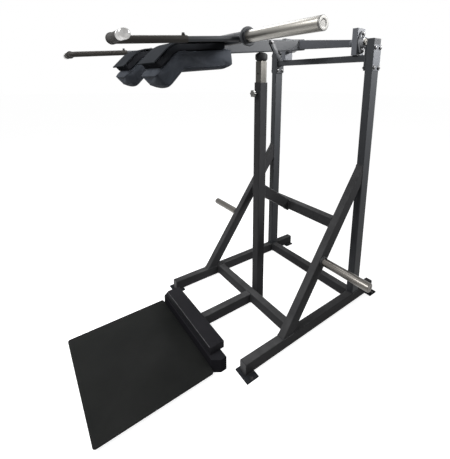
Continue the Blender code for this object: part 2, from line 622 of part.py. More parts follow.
def build_horns(coat, steel, plastic, lever):
    """Weight horns on the lever's cross tube, and storage horns on the braces."""
    radius, bore = HORN_DIAMETER / 2, HORN_DIAMETER / 2 - HORN_WALL
    for side, word in SIDES:
        root = CROSS_TUBE_HALF_LENGTH + GAP
        length = HORN_TIP_X - HORN_CAP_THICKNESS - GAP - root
        flange = HORN_FLANGE_THICKNESS
        place = (side * root, CROSS_TUBE_Y, CROSS_TUBE_H)
        turned(f"weight_horn_{word}", steel, [(bore, 0), (HORN_FLANGE_DIAMETER / 2 - 0.002, 0),
            (HORN_FLANGE_DIAMETER / 2, 0.002), (HORN_FLANGE_DIAMETER / 2, flange - 0.002),
            (HORN_FLANGE_DIAMETER / 2 - 0.002, flange), (radius, flange), (radius, length - 0.001),
            (radius - 0.001, length), (bore, length)], place, (side, 0, 0), bored=True, parent=lever)
        tip = Vector((side * (root + length + GAP), CROSS_TUBE_Y, CROSS_TUBE_H))
        plug = bore - SLIDE_GAP
        turned(f"weight_horn_cap_{word}", plastic, [
            (0, -0.020), (plug, -0.020), (plug, 0), (radius, 0), (radius, HORN_CAP_THICKNESS - 0.003),
            (radius - 0.003, HORN_CAP_THICKNESS), (0, HORN_CAP_THICKNESS)], tip, (side, 0, 0), parent=lever)
        outer_x = FRAME_HALF_WIDTH + TUBE_WIDTH / 2 + GAP
        brace_face = Vector((side * outer_x, brace_y(STORAGE_HORN_Z), STORAGE_HORN_Z))
        flange = STORAGE_FLANGE_THICKNESS
        length = STORAGE_HORN_LENGTH
        turned(f"storage_horn_{word}", steel, [(0, length - 0.006), (bore, length - 0.006), (bore, 0),
            (STORAGE_FLANGE_DIAMETER / 2, 0), (STORAGE_FLANGE_DIAMETER / 2, flange), (radius, flange),
            (radius, length - 0.003), (radius - 0.003, length), (0, length)], brace_face, (side, 0, 0))


def build_lever(coat, steel, rubber, vinyl, zinc):
    """Everything that swings: beam, arms with hubs and shafts, cross tube, brackets, pads and latch."""
    lever = pivot_empty("lever_axis", PIVOT, (LEVER_TILT, 0, 0))
    tube_radius = CROSS_TUBE_DIAMETER / 2
    half = CROSS_TUBE_HALF_LENGTH
    turned("lever_cross_tube", coat, [
        (tube_radius - 0.004, -half), (tube_radius, -half), (tube_radius, half), (tube_radius - 0.004, half)],
        (0, CROSS_TUBE_Y, CROSS_TUBE_H), (1, 0, 0), bored=True, parent=lever)
    for side, word in SIDES:
        radius, length = HANDLE_STUB_DIAMETER / 2, CROSS_TUBE_Y - HANDLE_STUB_END_Y
        stub = turned(f"handle_stub_{word}", coat, [
            (0, 0), (radius, 0), (radius, length - 0.002), (radius - 0.002, length), (0, length)],
            (side * HANDLE_X, CROSS_TUBE_Y, HANDLE_H), (0, -1, 0), steps=24, parent=lever)
        cross_tube_cope(stub, side * HANDLE_X, lever)

    beam = tube("lever_beam", coat, (0, CROSS_TUBE_Y, BEAM_AXIS_H), (0, BEAM_REAR, BEAM_AXIS_H),
        (1, 0, 0), TUBE_WIDTH, TUBE_HEIGHT, TUBE_WALL, parent=lever)
    cross_tube_cope(beam, 0, lever)
    reach = 0.1
    ahead = box("beam_front_cut", None, (-reach, CROSS_TUBE_Y - reach, -reach),
        (reach, CROSS_TUBE_Y + 0.004, reach), parent=lever, helper=True)
    boolean(beam, ahead, "DIFFERENCE")

    for side, word in SIDES:
        lever_arm(side, word, coat, lever)
        pad_bracket(side, word, coat, lever)
        shoulder_pad(side, word, vinyl, lever)
        handle(side, word, coat, rubber, steel, lever)
    latch(zinc, lever)
    return lever


def cross_tube_cope(obj, x, lever):
    """Cuts the end of a piece to sit round the cross tube."""
    clearance = CROSS_TUBE_DIAMETER / 2 + GAP
    reach = 0.1
    cope = turned(obj.name + "_cope", None, [(0, -reach), (clearance, -reach), (clearance, reach),
        (0, reach)], (x, CROSS_TUBE_Y, CROSS_TUBE_H), (1, 0, 0), parent=lever, helper=True)
    boolean(obj, cope, "DIFFERENCE")


def lever_arm(side, word, coat, lever):
    """A tapered arm from the beam's side to a hub, with the stub shaft that turns in the bearing."""
    hub_outer = PIVOT_POST_X - PIVOT_POST_WIDTH / 2 - 0.006
    hub_inner = hub_outer - HUB_LENGTH
    root = Vector((side * (TUBE_WIDTH / 2 + GAP), BEAM_REAR - ARM_WIDTH * 0.75, BEAM_AXIS_H))
    tip = Vector((side * (hub_inner + HUB_LENGTH * 0.4), 0, 0))
    along = (tip - root).normalized()
    across = along.cross(Vector((0, 0, 1))).normalized()
    arm = tube(f"lever_arm_{word}", coat, root, tip, across, ARM_WIDTH, ARM_ROOT_HEIGHT, 0, corner=0.005,
               start_cut=(1, 0, 0), end_scale=ARM_TIP_HEIGHT / ARM_ROOT_HEIGHT, parent=lever)
    hub = turned(f"lever_hub_{word}", None, [(0, hub_inner), (HUB_DIAMETER / 2, hub_inner),
        (HUB_DIAMETER / 2, hub_outer), (0, hub_outer)], (0, 0, 0), (side, 0, 0), parent=lever,
        helper=True)
    boolean(arm, hub, "UNION")
    spacer_end = PIVOT_POST_X - PIVOT_POST_WIDTH / 2 - GAP
    spacer = outline_plate(f"lever_spacer_{word}", None, hexagon(SPACER_ACROSS),
        spacer_end - hub_outer + 0.001, facing((side * (hub_outer - 0.001), 0, 0), (side, 0, 0)),
        parent=lever, helper=True)
    boolean(arm, spacer, "UNION")
    shaft_end = PIVOT_POST_X + PIVOT_POST_WIDTH / 2 + FLANGE_THICKNESS + BEARING_BOSS_LENGTH + 0.003
    shaft = turned(f"lever_shaft_{word}", None, [(0, hub_outer - 0.01),
        (SHAFT_DIAMETER / 2, hub_outer - 0.01), (SHAFT_DIAMETER / 2, shaft_end), (0, shaft_end)],
        (0, 0, 0), (side, 0, 0), parent=lever, helper=True)
    boolean(arm, shaft, "UNION")


def pad_path(rear, lift, nose):
    """Stations along a line that lies above the cushion's back and follows its bend.

    Each is (place, turn, rounding), with a small rounding at both ends. nose is the run beyond the bend.
    """
    radius = PAD_THICKNESS + PAD_INNER_BEND + lift
    centre = Vector((0, PAD_BEND_Y, PAD_TOP_H + lift - radius))
    shares = [1 - math.cos(math.pi / 2 * k / PAD_END_STEPS) for k in range(PAD_END_STEPS + 1)]
    roundings = [PAD_END_SHARE + (1 - PAD_END_SHARE) * math.sin(math.pi / 2 * k / PAD_END_STEPS)
                 for k in range(PAD_END_STEPS + 1)]
    stations = []
    for share, rounding in zip(shares, roundings):
        stations.append((Vector((0, rear - PAD_REAR_ROUND * share, PAD_TOP_H + lift)), 0, rounding))
    for step in range(PAD_BEND_STEPS + 1):
        turn = PAD_NOSE_ANGLE * step / PAD_BEND_STEPS
        stations.append((centre + radius * Vector((0, -math.sin(turn), math.cos(turn))), turn, 1))
    bend_end = stations[-1][0]
    ahead = Vector((0, -math.cos(PAD_NOSE_ANGLE), -math.sin(PAD_NOSE_ANGLE)))
    for share, rounding in reversed(list(zip(shares, roundings))):
        stations.append((bend_end + ahead * (nose - PAD_NOSE_ROUND * share), PAD_NOSE_ANGLE, rounding))
    return stations


def pad_section(width, thickness, crown, swell):
    """Points round a cushion: its back at 0, full sides, and a face that bulges by the crown.

    swell is small at the very end of the cushion and 1 away from it.
    """
    half = width / 2 - PAD_REAR_ROUND * (1 - swell)
    points = []
    for step in range(24):
        angle = math.tau * (step + 0.5) / 24
        c, s = math.cos(angle), math.sin(angle)
        across = half * math.copysign(abs(c) ** 0.42, c)
        down = thickness / 2 * (swell * math.copysign(abs(s) ** 0.42, s) - 1)
        if s < 0:
            down -= crown * swell * (1 - (across / half) ** 2)
        points.append((across, down))
    return points


def sweep(name, finish, stations, section, x, parent, helper=False):
    """A body swept along stations, with a section that depends on the rounding there."""
    bm = bmesh.new()
    rings = []
    for place, turn, swell in stations:
        up = Vector((0, -math.sin(turn), math.cos(turn)))
        rings.append([place + Vector((x + u, 0, 0)) + up * v for u, v in section(swell)])
    skin(bm, rings, closed=False)
    return add_object(name, bm, finish, parent, helper)


def shoulder_pad(side, word, vinyl, lever):
    """A cushion that lies flat and then turns down at the front, with a narrower layer on its back."""
    pad = sweep(f"shoulder_pad_{word}", vinyl, pad_path(PAD_REAR_Y, 0, PAD_NOSE_LENGTH),
                lambda swell: pad_section(PAD_WIDTH, PAD_THICKNESS, PAD_CROWN, swell), side * PAD_X, lever)
    sink = PAD_THICKNESS / 4
    back_width = PAD_WIDTH - 2 * PAD_BACK_INSET
    back_rear = CROSS_TUBE_Y - CROSS_TUBE_DIAMETER / 2 - PAD_BACK_CLEARANCE
    back = sweep(f"pad_back_{word}", None, pad_path(back_rear, PAD_BACK_THICKNESS, PAD_BACK_NOSE_LENGTH),
        lambda swell: pad_section(back_width, PAD_BACK_THICKNESS + sink, 0, swell), side * PAD_X, lever,
        helper=True)
    boolean(pad, back, "UNION")


def pad_bracket(side, word, coat, lever):
    """A bent plate from the cross tube over the pad's back, which is screwed to it."""
    half = BACKING_WIDTH / 2
    low, high = GAP, GAP + BACKING_THICKNESS
    plate = sweep(f"pad_bracket_{word}", coat, pad_path(CROSS_TUBE_Y, PAD_BACK_THICKNESS,
        BACKING_NOSE_LENGTH), lambda swell: [(-half, low), (half, low), (half, high), (-half, high)],
        side * PAD_X, lever)
    cross_tube_cope(plate, side * PAD_X, lever)


def handle(side, word, coat, rubber, steel, lever):
    """A tube that slides over the stub, bends outward and carries the grip and its end cap."""
    axis = pivot_empty(f"handle_axis_{word}", (side * HANDLE_X, HANDLE_REAR_Y, HANDLE_H), parent=lever)
    radius = HANDLE_DIAMETER / 2
    run = HANDLE_REAR_Y - HANDLE_FRONT_Y - HANDLE_BEND_RADIUS
    reach = HANDLE_TIP_X - HANDLE_X - GRIP_CAP_CLOSED
    stations = [(Vector((0, 0, 0)), 0)]
    for step in range(HANDLE_BEND_STEPS + 1):
        turn = math.radians(90) * step / HANDLE_BEND_STEPS
        ahead = run + HANDLE_BEND_RADIUS * math.sin(turn)
        stations.append((Vector((side * HANDLE_BEND_RADIUS * (1 - math.cos(turn)), -ahead, 0)), turn))
    stations.append((Vector((side * reach, -run - HANDLE_BEND_RADIUS, 0)), math.radians(90)))
    rings = []
    for place, turn in stations:
        out = Vector((math.cos(turn), side * math.sin(turn), 0))
        angles = [math.tau * k / 20 for k in range(20)]
        up = Vector((0, 0, 1))
        rings.append([place + radius * (out * math.cos(a) + up * math.sin(a)) for a in angles])
    bm = bmesh.new()
    skin(bm, rings, closed=False)
    body = add_object(f"handle_{word}", bm, coat, axis)
    bore_radius = HANDLE_STUB_DIAMETER / 2 + SLIDE_GAP
    depth = run - 0.005
    bore = turned(f"handle_bore_{word}", None, [(0, -0.01), (bore_radius, -0.01), (bore_radius, depth),
        (0, depth)], (0, 0, 0), (0, -1, 0), steps=20, parent=axis, helper=True)
    boolean(body, bore, "DIFFERENCE")
    screw = turned(f"handle_screw_{word}", None, [(0, radius - 0.002), (0.005, radius - 0.002),
        (0.005, radius + 0.006), (0, radius + 0.006)], (0, -0.014, 0), (0, 0, 1), steps=12, parent=axis,
        helper=True)
    boolean(body, screw, "UNION")
    front_y = HANDLE_FRONT_Y - HANDLE_REAR_Y
    start = side * (GRIP_START_X - HANDLE_X)
    length = GRIP_END_X - GRIP_START_X
    inside, outside = radius + GAP, GRIP_DIAMETER / 2
    turned(f"grip_{word}", rubber, [(inside, 0), (outside + 0.003, 0), (outside + 0.003, 0.004),
        (outside, 0.007), (outside, length), (inside, length)], (start, front_y, 0), (side, 0, 0),
        bored=True, parent=axis)
    start = side * (GRIP_END_X + GAP - HANDLE_X)
    tip = HANDLE_TIP_X - GRIP_END_X - GAP
    depth = tip - GRIP_CAP_CLOSED + GAP
    outside = GRIP_CAP_DIAMETER / 2
    turned(f"grip_cap_{word}", steel, [(0, depth), (inside, depth), (inside, 0), (outside, 0),
        (outside, tip - 0.004), (outside - 0.004, tip), (0, tip)], (start, front_y, 0), (side, 0, 0),
        parent=axis)


def latch(finish, lever):
    """A flat hook that hangs from a bolt on the beam's right side."""
    axis = pivot_empty("latch_axis", (TUBE_WIDTH / 2 + GAP, LATCH_PIVOT_Y, LATCH_PIVOT_H), parent=lever)
    radius = LATCH_WIDTH / 2
    bm_points = []
    for step in range(9):
        angle = math.radians(180 * step / 8)
        bm_points.append((radius * math.cos(angle), radius * math.sin(angle)))
    bm_points += [(-radius, -LATCH_REACH * 0.45), (-radius * 0.4, -LATCH_REACH),
        (radius * 1.2, -LATCH_REACH), (radius * 1.2, -LATCH_REACH * 0.82),
        (radius * 0.7, -LATCH_REACH * 0.78), (radius * 0.9, -LATCH_REACH * 0.45)]
    hang = Matrix(((0, 0, 1), (1, 0, 0), (0, 1, 0))).to_4x4()
    plate = outline_plate("latch_hook", finish, bm_points, LATCH_THICKNESS, Matrix.Rotation(LATCH_LEAN, 4,
        "X") @ hang, parent=axis)
    add_bolt(plate, (LATCH_THICKNESS, 0, 0), (1, 0, 0), 0.016, 0.007)


def build():
    clear_scene()
    coat = material("black_powder_coat", (0.020, 0.021, 0.023), 0.42)
    steel = material("sleeve_steel", (0.62, 0.61, 0.58), 0.28, 1.0)
    zinc = material("zinc_plate", (0.50, 0.48, 0.44), 0.40, 1.0)
    rubber = material("black_rubber", (0.022, 0.022, 0.023), 0.75)
    vinyl = material("pad_vinyl", (0.050, 0.055, 0.062), 0.50)
    plastic = material("cap_plastic", (0.030, 0.030, 0.032), 0.50)
    iron = material("bearing_iron", (0.055, 0.058, 0.062), 0.50, 0.6)
    build_base(coat, plastic)
    build_platform(coat, rubber)
    build_toe_block(coat, rubber)
    build_uprights(coat, plastic)
    build_middle(coat)
    build_stop(coat, zinc, rubber, steel)
    build_crossbar(coat, coat)
    build_pivots(coat, iron)
    lever = build_lever(coat, steel, rubber, vinyl, coat)
    build_horns(coat, steel, steel, lever)
    centre_on_origin()


def centre_on_origin():
    """Moves the model so that the middle of its length is at Y = 0."""
    shift = -(PLATFORM_FRONT_Y + RAIL_REAR_Y + FOOT_OVERHANG_REAR) / 2
    for obj in bpy.data.objects:
        if not obj.parent:
            obj.location.y += shift


build()
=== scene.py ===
# %% [markdown]
# A viking press stands alone in a bright room. A person stands on the platform, takes the
# two pads on the shoulders and lifts a lever that is loaded with weight plates.
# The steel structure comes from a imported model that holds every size, so this lesson
# never moves it. It gives each piece a finish, and it rebuilds the pieces whose surface
# needs more than flat facets: round steel, cushions, welds and fasteners.

# %% Load the fixed model
import json
import math
import random

import bmesh
import bpy
from mathutils import Matrix, Vector, geometry
from mathutils.bvhtree import BVHTree


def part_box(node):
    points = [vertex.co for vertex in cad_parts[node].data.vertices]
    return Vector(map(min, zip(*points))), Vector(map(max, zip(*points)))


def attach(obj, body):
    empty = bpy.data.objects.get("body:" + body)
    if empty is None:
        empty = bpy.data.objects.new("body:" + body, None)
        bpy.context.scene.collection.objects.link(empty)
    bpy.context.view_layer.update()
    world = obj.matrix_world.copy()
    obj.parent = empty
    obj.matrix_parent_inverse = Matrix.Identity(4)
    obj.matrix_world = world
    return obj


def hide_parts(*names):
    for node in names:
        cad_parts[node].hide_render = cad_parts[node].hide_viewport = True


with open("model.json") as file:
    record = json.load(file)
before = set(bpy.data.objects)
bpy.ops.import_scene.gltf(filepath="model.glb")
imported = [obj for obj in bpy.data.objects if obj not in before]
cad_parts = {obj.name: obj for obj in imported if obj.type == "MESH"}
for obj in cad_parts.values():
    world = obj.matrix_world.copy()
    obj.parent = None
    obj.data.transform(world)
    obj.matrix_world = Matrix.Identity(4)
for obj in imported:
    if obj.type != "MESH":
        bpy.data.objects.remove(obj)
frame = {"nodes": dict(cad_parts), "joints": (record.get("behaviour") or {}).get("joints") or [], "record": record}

nodes = frame["nodes"]
scene = bpy.context.scene
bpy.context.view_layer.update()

# %% [markdown]
# The photograph was taken from just in front of the right front corner, at about
# the height of the pads. Its straight tubes fix the lens: parallel edges that run to
# the same point tell where the horizon and the middle of the picture lie. The picture
# is a crop, so that middle isn't the crop's centre, and the lens shift makes up for it.

# %% Camera
PICTURE_HEIGHT = 459
FOCAL_PIXELS = 308.5
EYE = Vector((1.5114, -1.0354, 1.5130))
YAW, PITCH, ROLL = (math.radians(angle) for angle in (52.174, -11.941, 0.637))
LENS_SHIFT = (-0.0583, -0.1784)

camera_data = bpy.data.cameras.new("camera")
camera_data.sensor_width = 36
camera_data.lens = FOCAL_PIXELS / PICTURE_HEIGHT * camera_data.sensor_width
camera_data.shift_x, camera_data.shift_y = LENS_SHIFT
camera = bpy.data.objects.new("camera", camera_data)
scene.collection.objects.link(camera)
bpy.context.scene.camera = camera
turn = Matrix.Rotation(YAW, 4, "Z") @ Matrix.Rotation(math.pi / 2 + PITCH, 4, "X")
look = turn @ Matrix.Rotation(ROLL, 4, "Z")
camera.matrix_world = Matrix.Translation(EYE) @ look
print("lens", round(camera_data.lens, 2), "mm")

# %% [markdown]
# Light and finishes are networks of nodes, and a network is easier to read as a formula.
# One small class wraps a node's socket, so that Python's own operators add the Math nodes.
# One method makes any other node: its type, its settings and what goes into its sockets.


# %% Shader expressions
def feed(tree, sockets, values):
    """Links each named socket to a Level, or sets it to a constant."""
    for name, value in values.items():
        if isinstance(value, Level):
            tree.links.new(value.socket, sockets[name])
        else:
            sockets[name].default_value = value


class Level:
    """A socket in a node tree. Adding and multiplying make Math nodes."""

    def __init__(self, tree, socket):
        self.tree = tree
        self.socket = socket

    def make(self, kind, settings, inlets, outlet=0):
        """Adds a node, sets its settings first and then feeds its sockets."""
        node = self.tree.nodes.new(kind)
        for name, value in settings.items():
            setattr(node, name, value)
        feed(self.tree, node.inputs, inlets)
        return Level(self.tree, node.outputs[outlet])

    def maths(self, operation, other):
        return self.make("ShaderNodeMath", {"operation": operation}, {0: self, 1: other})

    def __add__(self, other):
        return self.maths("ADD", other)

    def __mul__(self, other):
        return self.maths("MULTIPLY", other)

    __radd__ = __add__
    __rmul__ = __mul__

    def limited(self, low, high):
        """Stretches low to high over 0 to 1 and stops there."""
        inlets = {"Value": self, "From Min": low, "From Max": high}
        return self.make("ShaderNodeMapRange", {"clamp": True}, inlets)


# %% [markdown]
# The ground behind the machine is pure white, and so is what polished steel mirrors. A room
# that white would wash out the black coat, so the room lights things with only a share of
# what the camera and the mirrors see. The Light Path node tells one kind of ray from the
# other. The floor makes up the same difference by glowing.

# %% Room and floor
ROOM_LIGHT = 0.27
FLOOR_WHITE = 0.60
FLOOR_GLOW = 0.83
FLOOR_REACH = 40
FLOOR_DROP = 0.0008

scene.view_settings.view_transform = "Standard"


def seen_directly(tree):
    """1 for rays from the camera, a mirror or glass, 0 for the light that falls on things."""
    path = tree.nodes.new("ShaderNodeLightPath")
    camera_ray, mirror_ray, glass_ray = (
        Level(tree, path.outputs[f"Is {kind} Ray"]) for kind in ("Camera", "Glossy", "Transmission"))
    return camera_ray.maths("MAXIMUM", mirror_ray).maths("MAXIMUM", glass_ray)


world = bpy.data.worlds.new("white_room")
world.use_nodes = True
scene.world = world
direct = seen_directly(world.node_tree)
strength = direct.make("ShaderNodeMix", {}, {"Factor": direct, "A": ROOM_LIGHT, "B": 1.0})
feed(world.node_tree, world.node_tree.nodes["Background"].inputs,
     {"Color": (1, 1, 1, 1), "Strength": strength})

floor_mesh = bmesh.new()
bmesh.ops.create_grid(floor_mesh, x_segments=1, y_segments=1, size=FLOOR_REACH)
bmesh.ops.translate(floor_mesh, vec=(0, 0, -FLOOR_DROP), verts=floor_mesh.verts)
floor_data = bpy.data.meshes.new("floor")
floor_mesh.to_mesh(floor_data)
floor_mesh.free()
floor = bpy.data.objects.new("floor", floor_data)
scene.collection.objects.link(floor)
floor_finish = bpy.data.materials.new("pale_floor")
floor_finish.use_nodes = True
floor_tree = floor_finish.node_tree
feed(floor_tree, floor_tree.nodes["Principled BSDF"].inputs, {
    "Base Color": (FLOOR_WHITE, FLOOR_WHITE, FLOOR_WHITE, 1), "Roughness": 1.0,
    "Specular IOR Level": 0.0, "Emission Strength": FLOOR_GLOW,
    "Emission Color": seen_directly(floor_tree)})
floor_data.materials.append(floor_finish)
print("floor", 2 * FLOOR_REACH, "m wide")

# %% [markdown]
# Three lamps model the black tubes. One hangs above on the left and draws the bright line
# along the polished horns. One stands behind on the right, and its narrow beam lights the
# right faces near the top. The strongest hangs high in front, for what faces forwards and
# up. All of them hang high, so the machine's top is brighter than its base.

# %% Lamps
LAMPS = {  # place, what it points at, width and height, power in watts, spread in degrees
    "lamp_above_left": ((-1.2, 0.1, 3.3), (0, 0.1, 0.9), (1.2, 1.2), 30, 180),
    "lamp_behind_right": ((2.3, 2.7, 2.9), (0.3, 0.75, 1.8), (1.8, 1.2), 32, 36),
    "lamp_front": ((0.1, -2.4, 3.1), (0.1, 0.3, 0.8), (1.6, 1.2), 115, 180),
}
for name, (place, target, size, power, spread) in LAMPS.items():
    lamp_data = bpy.data.lights.new(name, "AREA")
    lamp_data.shape = "RECTANGLE"
    lamp_data.size, lamp_data.size_y = size
    lamp_data.energy = power
    lamp_data.spread = math.radians(spread)
    lamp = bpy.data.objects.new(name, lamp_data)
    lamp.location = place
    lamp.rotation_euler = (Vector(target) - Vector(place)).to_track_quat("-Z", "Y").to_euler()
    scene.collection.objects.link(lamp)
print(len(LAMPS), "lamps")

# %% [markdown]
# Every finish here varies in the same three ways: its colour lies between two colours, its
# roughness follows the wear, and a height makes fine bumps. So a finish is a material with
# one method that sets all three, and with the patterns that they are made of. The record
# of the model has a slot for each kind of material, and a finish knows its slot.


# %% Finishes
class Finish:
    """A material that fills one of the record's slots, with its object coordinates at hand."""

    def __init__(self, name, slot, **constants):
        self.slot = slot
        self.material = bpy.data.materials.new(name)
        self.material.use_nodes = True
        self.tree = self.material.node_tree
        self.shader = self.tree.nodes["Principled BSDF"]
        coordinates = self.tree.nodes.new("ShaderNodeTexCoord")
        self.place = Level(self.tree, coordinates.outputs["Object"])
        self.normal = Level(self.tree, coordinates.outputs["Normal"])
        feed(self.tree, self.shader.inputs,
             {socket.replace("_", " "): value for socket, value in constants.items()})

    def noise(self, scale, detail=2.0, roughness=0.5):
        """Clouds of one scale or, with a scale for each axis, stretched ones."""
        place = self.place
        if isinstance(scale, tuple):
            place = place.make("ShaderNodeMapping", {}, {"Vector": place, "Scale": scale})
            scale = 1
        inlets = {"Vector": place, "Scale": scale, "Detail": detail, "Roughness": roughness}
        return place.make("ShaderNodeTexNoise", {}, inlets)

    def cells(self, scale, feature="F1"):
        inlets = {"Vector": self.place, "Scale": scale}
        return self.place.make("ShaderNodeTexVoronoi", {"feature": feature}, inlets)

    def upward(self):
        """1 on faces that look up, 0 on upright and lower ones."""
        height = self.normal.make("ShaderNodeSeparateXYZ", {}, {"Vector": self.normal}, outlet=2)
        return height.limited(0.10, 0.70)

    def vary(self, share, first, second, roughness, height=None, depth=0.0, strength=0.0):
        """Mixes two colours by share, sets the roughness and, with a height, the bumps."""
        self.shader.inputs["Base Color"].default_value = (*first, 1)  # for a plain preview
        colours = {"Factor": share, 6: (*first, 1), 7: (*second, 1)}
        looks = {"Base Color": self.place.make("ShaderNodeMix", {"data_type": "RGBA"}, colours, 2),
                 "Roughness": roughness}
        if height:
            bumps = {"Height": height, "Distance": depth, "Strength": strength}
            looks["Normal"] = self.place.make("ShaderNodeBump", {}, bumps)
        feed(self.tree, self.shader.inputs, looks)
        return self


# %% [markdown]
# The frame is powder coated in black. The powder melts into a skin with a fine ripple,
# called orange peel, and fine dust settles on whatever faces up. The ripple goes into the
# bump, and the dust makes the top faces a little paler and rougher. The specular level is
# low, because a bright room would otherwise turn the black into grey.
# The upper parts of the machine get a paler, glossier copy of the coat. That paleness is
# painted light, for the light from above that falls on the top. The posts and plates at the
# crossbar's ends get a still paler grey copy, also painted light. The handles are a warmer
# black. The toe block, the feet and the pads' plates get darker copies, which are painted
# shade, and the feet and the pads' plates are matte.
# Only the colours and the gloss differ, so the same recipe makes them all.

# %% Powder coats
COATS = {  # the coat's colour, its colour under dust, its specular level
    "powder_coat_black": ((0.0266, 0.0266, 0.0280), (0.0755, 0.0755, 0.0770), 0.015),
    # a paler copy of the black coat: painted light on the upper parts
    "powder_coat_painted_light_upper": ((0.0300, 0.0318, 0.0350), (0.0440, 0.0465, 0.0505), 0.08),
    # a paler grey copy: painted light on the crossbar's posts and clamp plates
    "powder_coat_painted_light_grey": ((0.0750, 0.0790, 0.0880), (0.1000, 0.1050, 0.1150), 0.12),
    "powder_coat_warm": ((0.0175, 0.0160, 0.0145), (0.0300, 0.0280, 0.0260), 0.08),
    # a darker copy: painted shade on the toe block
    "powder_coat_painted_shade_block": ((0.0125, 0.0123, 0.0145), (0.0190, 0.0190, 0.0215), 0.0),
    # a darker copy: painted shade on the feet and the pads' plates
    "powder_coat_painted_shade_matte": ((0.0165, 0.0180, 0.0205), (0.0280, 0.0300, 0.0330), 0.0),
}


def powder_coat(name, black, pale, gloss):
    """A coat with orange peel and a little dust. gloss is its specular level."""
    made = Finish(name, "powder_coat", Specular_IOR_Level=gloss)
    ripple = made.noise(420, 1.0)
    cloud = made.noise(7, 4.0, 0.6)
    specks = made.noise(260, 3.0, 0.7).limited(0.58, 0.74)
    dust = made.upward() * (0.3 + cloud.limited(0.32, 0.75) * 0.7)
    return made.vary(dust * 0.8 + specks * 0.08 + cloud * 0.12, black, pale,
                     0.33 + cloud * 0.12 + dust * 0.14, ripple, 0.00012, 0.35)


powder, lit_upper_coat, lit_grey_coat, warm_coat, shaded_block_coat, shaded_matte_coat = (
    powder_coat(name, *look) for name, look in COATS.items())
print(len(COATS), "powder coats")

# %% [markdown]
# The horns are bare steel that was turned on a lathe and is polished by the plates that
# slide along it. Turning leaves fine rings round the axis, and plates leave scratches
# along it. Both are noise, stretched in opposite ways. The rings run across X, because
# every horn on this machine lies along X. The stored plates' horns are duller.


# %% Sleeve steel
def turned_steel(name, bright, dull):
    """Steel with fine rings round X, scratches along it and dull bands."""
    made = Finish(name, "sleeve_steel", Metallic=1.0)
    rings = made.noise((1600, 30, 30))
    scratches = made.noise((14, 900, 900), 3.0, 0.65)
    scuffs = scratches.limited(0.58, 0.70)
    tarnish = made.noise((2.5, 70, 70), 3.0, 0.55).limited(0.38, 0.66)
    return made.vary(tarnish * 0.75 + scuffs * 0.2, bright, dull,
                     0.27 + rings * 0.08 + tarnish * 0.10 + scuffs * 0.08,
                     rings + scratches * 0.6, 0.00002, 0.4)


sleeve = turned_steel("sleeve_steel", (0.250, 0.242, 0.222), (0.112, 0.107, 0.098))
stored_sleeve = turned_steel("stored_sleeve_steel", (0.155, 0.147, 0.136), (0.062, 0.056, 0.051))
print("steel for horns and for storage horns")

# %% [markdown]
# The grip caps are chromed. Chrome is nearly a mirror, and only a faint haze of
# fingerprints varies over it. The horns' end plugs and the pull knob are plain bright
# steel, which is blurred by wear. The stop's inner tube is zinc plated and slides in and
# out of the post, so it is a warm grey with long rubbed streaks that run up and down.

# %% Chrome, plugs and zinc
polished = Finish("polished_chrome", "sleeve_steel", Metallic=1.0)
haze = polished.noise(60, 4.0)
polished.vary(haze.limited(0.35, 0.75), (0.540, 0.535, 0.525), (0.290, 0.285, 0.280),
              0.07 + haze * 0.12)

plug_steel = Finish("plug_steel", "sleeve_steel", Metallic=0.85)
blur = plug_steel.noise(50, 3.0)
plug_steel.vary(blur.limited(0.35, 0.70), (0.130, 0.128, 0.122), (0.085, 0.083, 0.079),
                0.38 + blur * 0.18)

zinc = Finish("zinc_plate", "zinc", Metallic=0.85)
rubbed = zinc.noise((300, 300, 7), 3.0)
zinc.vary(rubbed.limited(0.45, 0.75), (0.042, 0.040, 0.036), (0.078, 0.075, 0.068),
          0.34 + zinc.noise(45) * 0.18, rubbed, 0.00008, 0.4)
print("chrome, plug steel and zinc")

# %% [markdown]
# Rubber is matte and nearly black. The mat and the tread are pressed from crumbs, so
# their surface has a fine grain. Feet polish it a little and leave faint grey marks.


# %% Rubber
def crumb_rubber(name, black, worn):
    """Rubber pressed from crumbs, with pale flecks and trodden patches."""
    made = Finish(name, "rubber", Specular_IOR_Level=0.09)
    flecks = made.noise(210).limited(0.60, 0.72)
    trodden = made.noise(3.2, 4.0, 0.55)
    return made.vary(trodden.limited(0.36, 0.70) * 0.8 + flecks * 0.25, black, worn,
                     0.60 + trodden * 0.22, made.cells(620), 0.0003, 0.5)


mat_rubber = crumb_rubber("mat_rubber", (0.0058, 0.0064, 0.0061), (0.0130, 0.0134, 0.0130))
tread_rubber = crumb_rubber("tread_rubber", (0.0068, 0.0066, 0.0082), (0.0130, 0.0128, 0.0150))

moulded = Finish("moulded_rubber", "rubber", Specular_IOR_Level=0.08)
moulded.vary(moulded.noise(14, 3.0), (0.0085, 0.0085, 0.0090), (0.0160, 0.0160, 0.0168),
             0.48 + moulded.noise(30) * 0.2, moulded.noise(500), 0.00015, 0.5)

# a pale grey rubber for a painted highlight along the tread's front edge
painted_highlight = Finish("tread_edge_highlight", "rubber", Specular_IOR_Level=0.1)
painted_highlight.vary(painted_highlight.noise(40, 3.0).limited(0.35, 0.65), (0.030, 0.030, 0.031),
             (0.130, 0.130, 0.134), 0.75)

grip_rubber = Finish("grip_rubber", "rubber", Specular_IOR_Level=0.12)
held = grip_rubber.noise(26, 4.0).limited(0.35, 0.75)
grip_rubber.vary(held, (0.0200, 0.0195, 0.0185), (0.0440, 0.0425, 0.0400), 0.58 + held * 0.2,
                 grip_rubber.cells(700), 0.00025, 0.5)
print("rubber for mat, tread, bumper, scuffed edge and grips")

# %% [markdown]
# The pads are covered in black vinyl with a leather grain: small rounded cells with
# creases between them. The distance to a cell's edge gives the creases. The layer gets a
# darker copy, which is painted shade: its side lies set back and in shadow.


